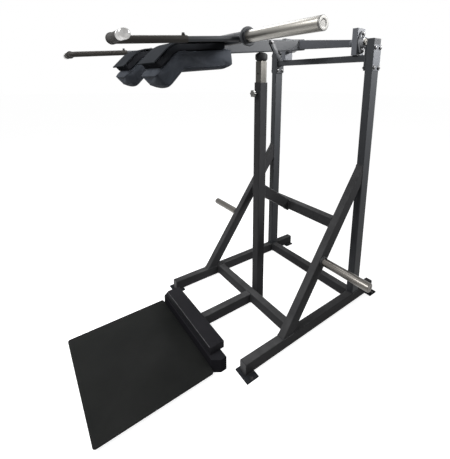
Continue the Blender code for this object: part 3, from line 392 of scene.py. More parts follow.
# %% Vinyl
def vinyl_cover(name, black, rubbed, gloss):
    """Grained vinyl, creased where it is drawn over foam. gloss is its specular level."""
    made = Finish(name, "vinyl", Specular_IOR_Level=gloss)
    grain = made.cells(430, "DISTANCE_TO_EDGE").limited(0.0, 0.35)
    rub = made.noise(9, 4.0)
    creases = made.noise(34, 3.0, 0.6)
    return made.vary(rub.limited(0.38, 0.72), black, rubbed, 0.38 + rub * 0.12 + creases * 0.06,
                     grain + creases * 0.9, 0.0003, 0.45)


vinyl = vinyl_cover("pad_vinyl", (0.0290, 0.0325, 0.0390), (0.046, 0.050, 0.058), 0.005)
# a darker copy of the vinyl: painted shade on the pads' layers
shade_vinyl_for_layers = vinyl_cover("painted_shade_layer_vinyl", (0.0105, 0.0112, 0.0130), (0.0190, 0.0200, 0.0225), 0.0)
print("vinyl for cushions and layers")

# %% [markdown]
# Four small finishes are left. Injection moulded caps have a satin skin, the bearings are
# rough castings under paint, the bolts are blackened steel, and each weld has the coat over
# it but shines more, because its ripples are smooth.

# %% Caps, castings, bolts and welds
cap_plastic = Finish("cap_plastic", "plastic", Specular_IOR_Level=0.25)
cap_plastic.vary(cap_plastic.noise(9, 3.0), (0.012, 0.012, 0.014), (0.024, 0.024, 0.026),
                 0.42 + cap_plastic.noise(25) * 0.2, cap_plastic.noise(650), 0.0001, 0.4)

casting = Finish("painted_casting", "iron", Metallic=0.2, Specular_IOR_Level=0.3)
pits = casting.noise(150, 4.0, 0.65)
casting.vary(casting.noise(18, 3.0), (0.095, 0.098, 0.105), (0.170, 0.175, 0.183),
             0.42 + pits * 0.2, pits, 0.0005, 0.5)

fastener = Finish("blackened_bolt", "iron", Metallic=0.5)
fastener.vary(fastener.noise(70, 3.0), (0.014, 0.014, 0.015), (0.050, 0.050, 0.052),
              0.30 + fastener.noise(120) * 0.2)

weld = Finish("coated_weld", "powder_coat", Specular_IOR_Level=0.1)
spatter = weld.noise(330)
weld.vary(spatter.limited(0.5, 0.8), (0.026, 0.027, 0.029), (0.050, 0.051, 0.053),
          0.24 + weld.noise(90) * 0.18, spatter, 0.0002, 0.6)
print("caps, castings, bolts and welds")

# %% [markdown]
# The record names a slot for each node of the model, and the node gets the finish that
# fills it. Some parts of the frame get a paler or darker copy of the coat, left and right
# alike: the paler copies are painted light, the darker ones painted shade.

# %% Give each node its finish
SLOT_FINISHES = {finish.slot: finish for finish in (
    powder, sleeve, zinc, moulded, vinyl, cap_plastic, casting)}
# paler copies of the coat are painted light, darker ones painted shade
OWN_FINISHES = {
    "lever_beam": lit_upper_coat, "top_crossbar": lit_upper_coat, "upright": lit_upper_coat,
    "crossbar_clamp": lit_grey_coat, "pivot_post": lit_grey_coat, "toe_block_base": shaded_block_coat,
    "foot_front": shaded_matte_coat, "foot_rear": shaded_matte_coat,
}
slots = {entry["node"]: entry["material_slot"] for entry in frame["record"]["subparts"]}


def wear(obj, finish):
    """Puts a finish on an object in place of what it has."""
    obj.data.materials.clear()
    obj.data.materials.append(finish.material)


for name, node in nodes.items():
    part = name.removesuffix("_left").removesuffix("_right")
    wear(node, OWN_FINISHES.get(part, SLOT_FINISHES[slots[name]]))
print(len(nodes), "nodes finished")

# %% [markdown]
# The lever is drawn level and then tipped about its pivot until it rests on the bumper.
# Everything that rides on it is made level as well, because level numbers are easier to
# think in, and is then moved by one matrix.

# %% The lever's own frame
LEVER_TILT = math.radians(5.48)
SIDES = ((-1, "left"), (1, "right"))
swing = next(joint for joint in frame["joints"] if joint["name"] == "lever_swing")
lever_place = Matrix.Translation(Vector(swing["pos_m"])) @ Matrix.Rotation(LEVER_TILT, 4, "X")
pivot = lever_place.translation


def middle(node):
    """The middle of a node's box."""
    low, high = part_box(node)
    return (low + high) / 2


def span(node):
    """How far from the machine's middle a node of one side begins and ends."""
    return sorted(abs(corner.x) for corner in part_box(node))


def facing(place, direction):
    """A matrix that turns +Z to a direction and moves the origin to a place."""
    turn = Vector((0, 0, 1)).rotation_difference(Vector(direction))
    return Matrix.Translation(place) @ turn.to_matrix().to_4x4()


def outward(side, x, y=0.0, z=0.0):
    """A matrix at x metres out on a side, with +Z away from the machine's middle."""
    return facing((side * x, y, z), (side, 0, 0))


cross_tube = lever_place.inverted() @ middle("lever_cross_tube")
print("cross tube, level with the lever", [round(value, 4) for value in cross_tube])

# %% [markdown]
# A piece is often several simple shapes: a bolt is a hexagon and a washer, for example.
# Each helper below returns a fresh bmesh, and this one joins such shapes into one object,
# gives it a finish, lets it ride on a body and hides the nodes of the model that it stands for.

# %% Joining shapes into a piece
MERGE = 1e-6


def add_piece(name, shapes, finish, body, stands_for=(), place=None, smooth_angle=35):
    """Makes one object out of shapes drawn in world or, with place, in lever coordinates."""
    whole = bmesh.new()
    for shape in shapes:
        bmesh.ops.remove_doubles(shape, verts=shape.verts, dist=MERGE)
        bmesh.ops.recalc_face_normals(shape, faces=shape.faces)
        drawn = bpy.data.meshes.new(name)
        shape.to_mesh(drawn)
        shape.free()
        whole.from_mesh(drawn)
        bpy.data.meshes.remove(drawn)
    if place:
        bmesh.ops.transform(whole, matrix=place, verts=whole.verts)
    data = bpy.data.meshes.new(name)
    whole.to_mesh(data)
    whole.free()
    data.shade_smooth()
    data.set_sharp_from_angle(angle=math.radians(smooth_angle))
    piece = bpy.data.objects.new(name, data)
    scene.collection.objects.link(piece)
    wear(piece, finish)
    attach(piece, body)
    if stands_for:
        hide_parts(*stands_for)
    return piece


print("points closer than", MERGE * 1000, "mm become one")

# %% [markdown]
# No edge on a real machine is perfectly sharp, and it is the small rounding that catches
# the light. So every outline and every profile is eased first: each corner gives way to a
# short curve of a few points.


# %% Outlines and profiles
def eased(points, ease=0.001, steps=3, closed=True):
    """The same outline with each corner rounded. An open one keeps its two ends."""
    corners = [Vector(point) for point in points]
    made = []
    for k, corner in enumerate(corners):
        if not closed and k in (0, len(corners) - 1):
            made.append(corner)
            continue
        back, ahead = corners[k - 1] - corner, corners[(k + 1) % len(corners)] - corner
        cut = min(ease, back.length * 0.45, ahead.length * 0.45)
        start = corner + back.normalized() * cut
        end = corner + ahead.normalized() * cut
        for share in (step / steps for step in range(steps + 1)):
            made.append(start * (1 - share) ** 2 + corner * 2 * share * (1 - share)
                        + end * share ** 2)
    return made


def rectangle(width, height):
    return [(width / 2 * x, height / 2 * y) for x, y in ((1, 1), (-1, 1), (-1, -1), (1, -1))]


def ring_points(radius, count):
    angles = [math.tau * k / count for k in range(count)]
    return [(radius * math.cos(angle), radius * math.sin(angle)) for angle in angles]


def band(inner, outer, low, high):
    """A tube's profile or, with inner 0, a rod's: pairs of radius and height."""
    return [(inner, low), (outer, low), (outer, high), (inner, high)]


print(len(eased(rectangle(1, 1))), "points in an eased rectangle")

# %% [markdown]
# Three ways of shaping cover the whole machine. Round parts are spun like on a lathe, and
# flat parts are an outline that is extruded and then bevelled.

# %% Spinning and extruding
TURN_STEPS = 56


def turned(profile, place, ease=0.0008, steps=TURN_STEPS):
    """Spins a profile about Z. A profile that starts off the axis closes on itself."""
    bored = profile[0][0] > 0
    bm = bmesh.new()
    verts = [bm.verts.new((point.x, 0, point.y)) for point in eased(profile, ease, closed=bored)]
    edges = [bm.edges.new(pair) for pair in zip(verts, verts[1:])]
    if bored:
        edges.append(bm.edges.new((verts[-1], verts[0])))
    bmesh.ops.spin(bm, geom=verts + edges, cent=(0, 0, 0), axis=(0, 0, 1), angle=math.tau,
                   steps=steps, use_merge=True)
    bmesh.ops.remove_doubles(bm, verts=bm.verts, dist=MERGE)
    bmesh.ops.transform(bm, matrix=place, verts=bm.verts)
    return bm


def plate(outline, thickness, place, bevel=0.001, segments=2):
    """An outline in the XY plane, extruded along Z, with its rims bevelled."""
    bm = bmesh.new()
    face = bm.faces.new([bm.verts.new((x, y, 0)) for x, y in outline])
    made = bmesh.ops.extrude_face_region(bm, geom=[face], use_keep_orig=True)["geom"]
    lifted = [item for item in made if isinstance(item, bmesh.types.BMVert)]
    bmesh.ops.translate(bm, vec=(0, 0, thickness), verts=lifted)
    rims = [edge for edge in bm.edges
            if abs(edge.verts[0].co.z - edge.verts[1].co.z) < thickness / 2]
    bmesh.ops.bevel(bm, geom=rims, offset=bevel, offset_type="OFFSET", affect="EDGES",
                    segments=segments, profile=0.5, material=-1, clamp_overlap=True)
    bmesh.ops.transform(bm, matrix=place, verts=bm.verts)
    return bm


print("turned parts have", TURN_STEPS, "sides")

# %% [markdown]
# The third way is for bent parts. A path becomes a row of frames, which are matrices whose Z
# runs along the path, and an outline is carried from one frame to the next. Frames can also
# be scaled on the way, which gives tapers, rounded ends and rippled welds.

# %% Sweeping
SWEEP_MERGE = 1e-4


def frames_along(points, across, closed=False):
    """A matrix at each point of a path. Its X lies as near to across as it can."""
    frames = []
    last = len(points) - 1
    for k, point in enumerate(points):
        before = points[k - 1] if closed else points[max(k - 1, 0)]
        after = points[(k + 1) % len(points)] if closed else points[min(k + 1, last)]
        along = (after - before).normalized()
        side = (Vector(across) - along * along.dot(Vector(across))).normalized()
        axes = Matrix((side, along.cross(side), along)).transposed()
        frames.append(Matrix.Translation(point) @ axes.to_4x4())
    return frames


def swept(outline, frames, closed=False):
    """Carries an outline from frame to frame. An open sweep gets two lids."""
    bm = bmesh.new()
    ring = [bm.verts.new(frames[0] @ Vector((x, y, 0))) for x, y in outline]
    edges = [bm.edges.new((ring[k - 1], ring[k])) for k in range(len(ring))]
    if not closed:
        bm.faces.new(ring)
    for before, after in zip(frames, frames[1:] + (frames[:1] if closed else [])):
        made = bmesh.ops.extrude_edge_only(bm, edges=edges)["geom"]
        fresh = {item for item in made if isinstance(item, bmesh.types.BMVert)}
        bmesh.ops.transform(bm, matrix=after @ before.inverted(), verts=list(fresh))
        edges = [item for item in made
                 if isinstance(item, bmesh.types.BMEdge) and set(item.verts) <= fresh]
    if closed:
        bmesh.ops.remove_doubles(bm, verts=bm.verts, dist=SWEEP_MERGE)
    else:
        bmesh.ops.edgeloop_fill(bm, edges=edges)
    return bm


print("a sweep's ends meet within", SWEEP_MERGE * 1000, "mm")

# %% [markdown]
# The horns are tubes that were welded to a collar. The sleeve is bright, its collar is
# painted with the lever, and a steel plug closes the open end. Their middles come from
# the nodes they stand for, so they can't drift from the fixed model.

# %% Weight horns
HORN_RADIUS = 0.025
HORN_BORE = 0.022
COLLAR_BORE = HORN_RADIUS + 0.0002
WELD_SINK = 0.001
PLUG_DEPTH = 0.018
PLUG_RADIUS = HORN_BORE - 0.0006
PLUG_DISH = 0.0012


def collar(place, radius, depth, rounding, weld_width, weld_height, weld_rounding):
    """Shapes for a washer round a sleeve and for the weld on top of it."""
    seat = depth - WELD_SINK
    fillet = [(COLLAR_BORE, seat), (HORN_RADIUS + weld_width, seat),
              (COLLAR_BORE, depth + weld_height)]
    return [turned(band(COLLAR_BORE, radius, 0, depth), place, rounding),
            turned(fillet, place, weld_rounding)]


for side, word in SIDES:
    inner, outer = span(f"weight_horn_{word}")
    lip = span(f"weight_horn_cap_{word}")[1] - outer
    centre = middle(f"weight_horn_{word}")
    root, end = (outward(side, x, centre.y, centre.z) for x in (inner, outer))
    length = outer - inner
    add_piece(f"horn_sleeve_{word}", [turned(band(HORN_BORE, HORN_RADIUS, 0.001, length), root)],
              sleeve, "lever", [f"weight_horn_{word}"])
    add_piece(f"horn_collar_{word}", collar(root, 0.040, 0.012, 0.003, 0.005, 0.0045, 0.0015),
              lit_upper_coat, "lever")
    add_piece(f"horn_end_{word}", [turned([
        (0, -PLUG_DEPTH), (PLUG_RADIUS, -PLUG_DEPTH), (PLUG_RADIUS, 0.0003),
        (HORN_RADIUS, 0.0003), (HORN_RADIUS, lip), (0.014, lip), (0.011, lip - PLUG_DISH),
        (0, lip - PLUG_DISH)], end, ease=0.0022)],
        plug_steel, "lever", [f"weight_horn_cap_{word}"])
print("weight horns,", round(length, 3), "m of sleeve each")

# %% [markdown]
# Spare plates wait on two shorter horns, low on the braces. Their root is a flat washer
# with a weld round the sleeve, and the end is closed by a pressed plug.

# %% Storage horns
PRESSED_PLUG_DEPTH = 0.020
PRESSED_PLUG_RADIUS = HORN_BORE - 0.0003
PRESSED_PLUG_DISH = 0.002

for side, word in SIDES:
    inner, outer = span(f"storage_horn_{word}")
    centre = middle(f"storage_horn_{word}")
    root = outward(side, inner, centre.y, centre.z)
    length = outer - inner
    bottom = length - PRESSED_PLUG_DEPTH
    add_piece(f"storage_sleeve_{word}", [
        turned(band(HORN_BORE, HORN_RADIUS, 0, length - 0.001), root, 0.0012),
        turned([(0, bottom), (PRESSED_PLUG_RADIUS, bottom), (PRESSED_PLUG_RADIUS, length),
                (0.012, length), (0.010, length - PRESSED_PLUG_DISH),
                (0, length - PRESSED_PLUG_DISH)], root)],
        stored_sleeve, "frame", [f"storage_horn_{word}"])
    add_piece(f"storage_flange_{word}", collar(root, 0.032, 0.008, 0.0015, 0.004, 0.0035, 0.0008),
              powder, "frame")
print("storage horns,", round(length, 3), "m each")

# %% [markdown]
# The cross tube carries the horns, the pads and the handles. The tube and the handle stubs
# only need to be rounder than the model's, with small welds where a stub meets the tube.

# %% Cross tube and handle stubs
TUBE_RADIUS = 0.025
TUBE_BORE = 0.021
HANDLE_X = 0.385
HANDLE_RISE = 0.025
STUB_RADIUS = 0.011
STUB_END = -1.345

half = span("lever_cross_tube")[1]
add_piece("cross_tube", [turned(band(TUBE_BORE, TUBE_RADIUS, -half, half),
                                facing(cross_tube, (1, 0, 0)), 0.0006)],
          lit_upper_coat, "lever", ["lever_cross_tube"], lever_place)
for side, word in SIDES:
    reach = cross_tube.y - STUB_END
    start = facing((side * HANDLE_X, cross_tube.y, HANDLE_RISE), (0, -1, 0))
    fillet = [(0, TUBE_RADIUS - 0.006), (STUB_RADIUS + 0.006, TUBE_RADIUS - 0.006),
              (STUB_RADIUS + 0.004, TUBE_RADIUS + 0.001), (STUB_RADIUS, TUBE_RADIUS + 0.0045),
              (0, TUBE_RADIUS + 0.0045)]
    add_piece(f"stub_{word}", [
        turned(band(0, STUB_RADIUS, TUBE_RADIUS - 0.004, reach), start, 0.0015),
        turned(fillet, start, 0.0015)],
        lit_upper_coat, "lever", [f"handle_stub_{word}"], lever_place)
print("cross tube,", round(2 * half, 3), "m")

# %% [markdown]
# A handle is one steel tube, bent outwards in a tight quarter turn, and it slides on its
# stub. A set screw in a welded nut holds it. A path with a dozen frames in the bend gives
# the tube.

# %% Handle tubes
HANDLE_RADIUS = 0.014
HANDLE_REAR = -1.205
HANDLE_FRONT = -1.487
HANDLE_TIP = 0.566
BEND_RADIUS = 0.030
BEND_STEPS = 14
CAP_CLOSED = 0.012
SCREW_BACK = 0.014
REAR_SHRINK = 0.93


def handle_path(side):
    """Points from the tube's open end round the bend to the inside of the cap."""
    straight = (HANDLE_REAR, HANDLE_REAR - 0.001, HANDLE_REAR - 0.10)
    points = [Vector((side * HANDLE_X, y, HANDLE_RISE)) for y in straight]
    for step in range(BEND_STEPS + 1):
        turn = math.pi / 2 * step / BEND_STEPS
        out = HANDLE_X + BEND_RADIUS * (1 - math.cos(turn))
        ahead = HANDLE_FRONT + BEND_RADIUS - BEND_RADIUS * math.sin(turn)
        points.append(Vector((side * out, ahead, HANDLE_RISE)))
    return points + [Vector((side * (HANDLE_TIP - CAP_CLOSED), HANDLE_FRONT, HANDLE_RISE))]


for side, word in SIDES:
    body = f"grip_arm_{word}"
    frames = frames_along(handle_path(side), (0, 0, 1))
    frames[0] = frames[0] @ Matrix.Scale(REAR_SHRINK, 4)
    top = HANDLE_RISE + HANDLE_RADIUS - 0.002
    screw = facing((side * HANDLE_X, HANDLE_REAR - SCREW_BACK, top), (0, 0, 1))
    add_piece(f"handle_tube_{word}", [
        swept(ring_points(HANDLE_RADIUS, 32), frames),
        plate(eased(ring_points(0.0075, 6)), 0.0055, screw, 0.0006)],
        warm_coat, body, [f"handle_{word}"], lever_place)
    add_piece(f"handle_screw_{word}", [turned([
        (0, 0.004), (0.003, 0.004), (0.003, 0.0062), (0.0056, 0.0062), (0.0056, 0.0115),
        (0.0028, 0.0115), (0.0022, 0.0085), (0, 0.0085)], screw, 0.0006, 28)],
        fastener, body, place=lever_place)
print("handle tubes with", BEND_STEPS, "steps in each bend")

# %% [markdown]
# The grip is a rubber sleeve with a flange at its inner end and shallow grooves round it,
# and a chromed cap closes the tube. Both are turned, and they ride on the handle's body.

# %% Grips and caps
GRIP_LOW, GRIP_HIGH = 0.420, 0.5197
GRIP_RADIUS = 0.016
GRIP_BORE = HANDLE_RADIUS + 0.0003
GROOVES = 9
GROOVE_STEP = 0.0095
GROOVE_DEPTH = 0.0009
CAP_GAP = 0.0006
CAP_RADIUS = 0.0165

for side, word in SIDES:
    length = GRIP_HIGH - GRIP_LOW
    profile = [(GRIP_BORE, 0), (GRIP_RADIUS + 0.003, 0), (GRIP_RADIUS + 0.003, 0.004),
               (GRIP_RADIUS, 0.0075)]
    for groove in range(GROOVES):
        at = 0.013 + groove * GROOVE_STEP
        floor_radius = GRIP_RADIUS - GROOVE_DEPTH
        profile += [(GRIP_RADIUS, at), (floor_radius, at + 0.0008), (floor_radius, at + 0.0022),
                    (GRIP_RADIUS, at + 0.0030)]
    profile += [(GRIP_RADIUS, length), (GRIP_BORE, length)]
    add_piece(f"grip_sleeve_{word}", [
        turned(profile, outward(side, GRIP_LOW, HANDLE_FRONT, HANDLE_RISE), 0.0005)],
        grip_rubber, f"grip_arm_{word}", [f"grip_{word}"], lever_place)
    reach = HANDLE_TIP - GRIP_HIGH - CAP_GAP
    add_piece(f"grip_end_{word}", [turned([
        (0, reach - CAP_CLOSED), (GRIP_BORE, reach - CAP_CLOSED), (GRIP_BORE, 0), (CAP_RADIUS, 0),
        (CAP_RADIUS, 0.006), (0.0157, 0.0072), (0.0157, 0.0088), (CAP_RADIUS, 0.010),
        (CAP_RADIUS, reach - 0.0035), (0.0125, reach), (0, reach)],
        outward(side, GRIP_HIGH + CAP_GAP, HANDLE_FRONT, HANDLE_RISE), 0.0014)],
        polished, f"grip_arm_{word}", [f"grip_cap_{word}"], lever_place)
print("grips of", round(length, 3), "m with", GROOVES, "grooves")

# %% [markdown]
# The lever rests on a rubber bumper, which sits on the inner tube of an adjustable stop. It
# is a plain moulded drum with generous rounding. The pull pin below has a star knob, whose
# outline is a circle that swells at each of its six lobes.

# %% Bumper and pull pin
KNOB_LOBES = 6
LOBE_STEPS = 12
LOBE_DEPTH = 0.0023
KNOB_RADIUS = 0.023
KNOB_DEPTH = 0.016
PIN_RADIUS = 0.005
PIN_COLLAR_RADIUS = 0.009

low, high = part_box("stop_bumper")
centre = middle("stop_bumper")
radius, height = (high.x - low.x) / 2, high.z - low.z
add_piece("bumper_drum", [turned([
    (0, 0), (radius - 0.010, 0), (radius, 0.011), (radius, height - 0.012),
    (radius - 0.012, height - 0.003), (0.0135, height), (0, height)],
    Matrix.Translation((centre.x, centre.y, low.z)), 0.006)],
    moulded, "stop", ["stop_bumper"])

low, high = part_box("pull_pin")
centre = middle("pull_pin")
pin_place = facing((centre.x, high.y, centre.z), (0, -1, 0))
depth = high.y - low.y
knob = []
for step in range(KNOB_LOBES * LOBE_STEPS):
    angle = math.tau * step / (KNOB_LOBES * LOBE_STEPS)
    radius = KNOB_RADIUS - LOBE_DEPTH * (1 - math.cos(KNOB_LOBES * angle))
    knob.append((radius * math.cos(angle), radius * math.sin(angle)))
knob_place = pin_place @ Matrix.Translation((0, 0, depth - KNOB_DEPTH))
add_piece("pull_knob", [
    turned([(0, 0), (PIN_RADIUS, 0), (PIN_RADIUS, depth - 0.021),
            (PIN_COLLAR_RADIUS, depth - 0.021), (PIN_COLLAR_RADIUS, depth - KNOB_DEPTH + 0.002),
            (0, depth - KNOB_DEPTH + 0.002)], pin_place, 0.0010),
    plate(knob, KNOB_DEPTH, knob_place, 0.0030, 4),
    turned([(0, KNOB_DEPTH - 0.001), (0.008, KNOB_DEPTH - 0.001), (0.008, KNOB_DEPTH),
            (0.0065, KNOB_DEPTH), (0, KNOB_DEPTH - 0.0002)], knob_place, 0.0002)],
    plug_steel, "pin", ["pull_pin"])
print("pull pin,", round(depth, 3), "m long")

# %% [markdown]
# A bolt head is a hexagon with its corners ground off, on a washer. Where a bolt goes
# through a tube, the far side shows a nut and the end of the thread. The heads of the model
# are bare hexagons, so these sit over them and are a hair larger.

# %% Bolts, washers and nuts
OVERLAP = 0.0004
WASHER_THICKNESS = 0.0016
THREAD_PITCH = 0.0012


def bolt(place, direction, across, height, thread=0.0):
    """Shapes for a bolt head or, with a thread, for a nut and the bolt's end."""
    seat = facing(place, direction)
    corner = across / math.sqrt(3) + OVERLAP
    washer = band(across * 0.3, corner * 1.32, 0, WASHER_THICKNESS)
    shapes = [turned(washer, seat, 0.0004, 36),
              plate(ring_points(corner, 6), height + OVERLAP, seat, 0.0009)]
    if thread:
        radius = across * 0.29
        profile = [(0, height - 0.001), (radius, height - 0.001)]
        for turn in range(round(thread / THREAD_PITCH)):
            at = height + THREAD_PITCH * turn
            profile += [(radius - 0.0005, at + 0.0003), (radius, at + 0.0009)]
        end = height + thread + 0.001
        shapes.append(turned(profile + [(radius - 0.0012, end), (0, end)], seat, 0.0001, 28))
    return shapes


def bolt_seats(node, direction, rise, across):
    """Where a node's bolt heads stand: the middles of its points above a face, in groups."""
    direction = Vector(direction)
    points = [vert.co for vert in nodes[node].data.vertices]
    level = max(point.dot(direction) for point in points) - rise
    groups = []
    for point in points:
        if point.dot(direction) > level + rise * 0.5:
            near = next((group for group in groups
                         if (group[0] - point).length < across * 1.5), None)
            if near:
                near.append(point)
            else:
                groups.append([point])
    seats = []
    for group in groups:
        centre = sum(group, Vector()) / len(group)
        seats.append(centre + direction * (level - centre.dot(direction)))
    return seats


print("threads have a pitch of", THREAD_PITCH * 1000, "mm")

# %% [markdown]
# Each foot plate is bolted down by two bolts, and each clamp plate by four, which go
# through the upright and the crossbar's end plate to a nut on the inside.

# %% Bolts on the feet and the clamps
FOOT_BOLT = (0.013, 0.006)
CLAMP_BOLT = (0.017, 0.007)
THREAD_SHOWN = 0.006
HEAD_TO_NUT = 0.0616  # clamp plate, upright and end plate with the gaps between them

count = 0
for side, word in SIDES:
    for end in ("front", "rear"):
        shapes = []
        for place in bolt_seats(f"foot_{end}_{word}", (0, 0, 1), FOOT_BOLT[1], FOOT_BOLT[0]):
            shapes += bolt(place, (0, 0, 1), *FOOT_BOLT)
            count += 1
        add_piece(f"foot_bolts_{end}_{word}", shapes, fastener, "frame")
    shapes = []
    for place in bolt_seats(f"crossbar_clamp_{word}", (side, 0, 0), CLAMP_BOLT[1], CLAMP_BOLT[0]):
        nut = place - Vector((side * HEAD_TO_NUT, 0, 0))
        shapes += bolt(place, (side, 0, 0), *CLAMP_BOLT)
        shapes += bolt(nut, (-side, 0, 0), *CLAMP_BOLT, THREAD_SHOWN)
        count += 2
    add_piece(f"clamp_bolts_{word}", shapes, fastener, "frame")
print(count, "bolts and nuts")

# %% [markdown]
# Each flange bearing is an oval iron casting round a ball bearing. Its outline is the
# tightest band round three circles, so a convex hull finds it. A grease nipple sits on the
# boss, and the inner ring turns with the lever's shaft.

# %% Bearings
FLANGE_BOLTS = 0.0505
FLANGE_END = 0.016
BOSS_RADIUS = 0.035
BOSS_BORE = 0.024
CAST_DEPTH = 0.013
BOSS_TOP = CAST_DEPTH + 0.020
SHAFT_RADIUS = 0.0125
RING_BORE = SHAFT_RADIUS + 0.0003
BEARING_BOLT = (0.018, 0.008)

circles = []
for rise, radius in ((FLANGE_BOLTS, FLANGE_END), (0, BOSS_RADIUS), (-FLANGE_BOLTS, FLANGE_END)):
    circles += [Vector((x, y + rise)) for x, y in ring_points(radius, 40)]
flange_outline = [circles[k] for k in geometry.convex_hull_2d(circles)]
for side, word in SIDES:
    face = Vector((side * span(f"bearing_{word}")[0], pivot.y, pivot.z))
    out = Matrix.Translation(face) @ Matrix(((0, 0, side), (side, 0, 0), (0, 1, 0))).to_4x4()
    nipple = out @ facing((0, BOSS_RADIUS - 0.003, CAST_DEPTH + 0.008), (0, 1, 0.25))
    add_piece(f"bearing_cast_{word}", [
        plate(flange_outline, CAST_DEPTH, out, 0.0025, 3),
        turned([(BOSS_BORE, 0.002), (BOSS_RADIUS, 0.002), (BOSS_RADIUS, CAST_DEPTH + 0.003),
                (BOSS_RADIUS - 0.003, BOSS_TOP), (BOSS_BORE + 0.002, BOSS_TOP),
                (BOSS_BORE, BOSS_TOP - 0.003)], out, 0.003),
        turned([(0, 0), (0.0036, 0), (0.0036, 0.004), (0.0016, 0.0055), (0.0022, 0.0075),
                (0.0012, 0.0092), (0, 0.0092)], nipple, 0.0004, 20)],
        casting, "frame", [f"bearing_{word}"])
    shapes = []
    for rise in (-FLANGE_BOLTS, FLANGE_BOLTS):
        shapes += bolt(out @ Vector((0, rise, CAST_DEPTH)), (side, 0, 0), *BEARING_BOLT)
    add_piece(f"bearing_bolts_{word}", shapes, fastener, "frame")
    add_piece(f"bearing_ring_{word}", [turned([
        (RING_BORE, 0.004), (0.0235, 0.004), (0.0235, BOSS_TOP - 0.003),
        (0.0185, BOSS_TOP - 0.002), (0.0185, BOSS_TOP + 0.0015), (RING_BORE, BOSS_TOP + 0.0015)],
        out, 0.0008)], zinc, "lever")
print("bearings, bolts", round(2 * FLANGE_BOLTS, 3), "m apart")

# %% [markdown]
# Each arm of the lever is a tapered bar that ends in a round hub. The hub, the hexagonal
# spacer and the shaft were turned or sawn from bar, so they are rounder and brighter than
# the painted arm. A taper needs only two frames, the second one smaller. The root end is cut
# along the beam's side, so that what would reach into the beam goes.

# %% Lever arms
HUB_RADIUS = 0.023
HUB_LENGTH = 0.050
HUB_GAP = 0.006
SPACER_ACROSS = 0.036
SPACER_GAP = 0.0003
ARM_WIDTH, ARM_ROOT, ARM_TIP = 0.040, 0.060, 0.044
ARM_EXTRA = 0.04
BEAM_HALF = 0.0253
BEAM_RISE = 0.0156
BEAM_REAR = -0.168

for side, word in SIDES:
    post_face = span(f"pivot_post_{word}")[0]
    hub_outer = post_face - HUB_GAP
    hub_inner = hub_outer - HUB_LENGTH
    tip = Vector((side * (hub_inner + HUB_LENGTH * 0.4), 0, 0))
    root = Vector((side * BEAM_HALF, BEAM_REAR - ARM_WIDTH * 0.75, BEAM_RISE))
    along = (tip - root).normalized()
    across = along.cross(Vector((0, 0, 1))).normalized()
    frames = frames_along([root, tip], across)
    frames[1] = frames[1] @ Matrix.Scale(ARM_TIP / ARM_ROOT, 4, (0, 1, 0))
    arm = swept(eased(rectangle(ARM_WIDTH, ARM_ROOT), 0.006, 4), frames)
    longer = frames_along([root - along * ARM_EXTRA, root], across)[0]
    bmesh.ops.transform(arm, matrix=longer @ frames[0].inverted(),
                        verts=[vert for vert in arm.verts if (vert.co - root).dot(along) < 0.01])
    cut = bmesh.ops.bisect_plane(arm, geom=arm.verts[:] + arm.edges[:] + arm.faces[:],
                                 plane_co=root, plane_no=(side, 0, 0), clear_inner=True)
    rim = [item for item in cut["geom_cut"] if isinstance(item, bmesh.types.BMEdge)]
    bmesh.ops.edgeloop_fill(arm, edges=rim)
    axis = outward(side, 0)
    add_piece(f"arm_bar_{word}", [
        arm, turned(band(0, HUB_RADIUS, hub_inner, hub_outer), axis, 0.0015)],
        lit_grey_coat, "lever", [f"lever_arm_{word}"], lever_place)
    shaft_end = span(f"lever_arm_{word}")[1]
    add_piece(f"arm_shaft_{word}", [
        plate(ring_points(SPACER_ACROSS / math.sqrt(3), 6), post_face - SPACER_GAP - hub_outer,
              outward(side, hub_outer), 0.0008),
        turned([(0, hub_outer), (SHAFT_RADIUS, hub_outer), (SHAFT_RADIUS, shaft_end),
                (0.006, shaft_end), (0.004, shaft_end - 0.003), (0, shaft_end - 0.003)],
               axis, 0.0010)],
        zinc, "lever", place=lever_place)
print("arms", round((tip - root).length, 3), "m long, with hubs and shafts")

# %% [markdown]
# A shoulder pad is a thick cushion under a narrower layer, and a bent steel plate holds
# both. All three follow lines that share one centre of bending, at different heights. A
# line runs level, turns down through the nose angle and runs on a little.

# %% The lines of a pad
PAD_X = 0.206
PAD_WIDTH = 0.189
PAD_THICKNESS = 0.069
PAD_BACK = -0.022
PAD_REAR = -0.935
PAD_BEND_Y = -1.178
PAD_INNER_BEND = 0.006
NOSE_ANGLE = math.radians(40)
ROUNDING_STEPS = 5
NO_ROUNDING = (0, 0)


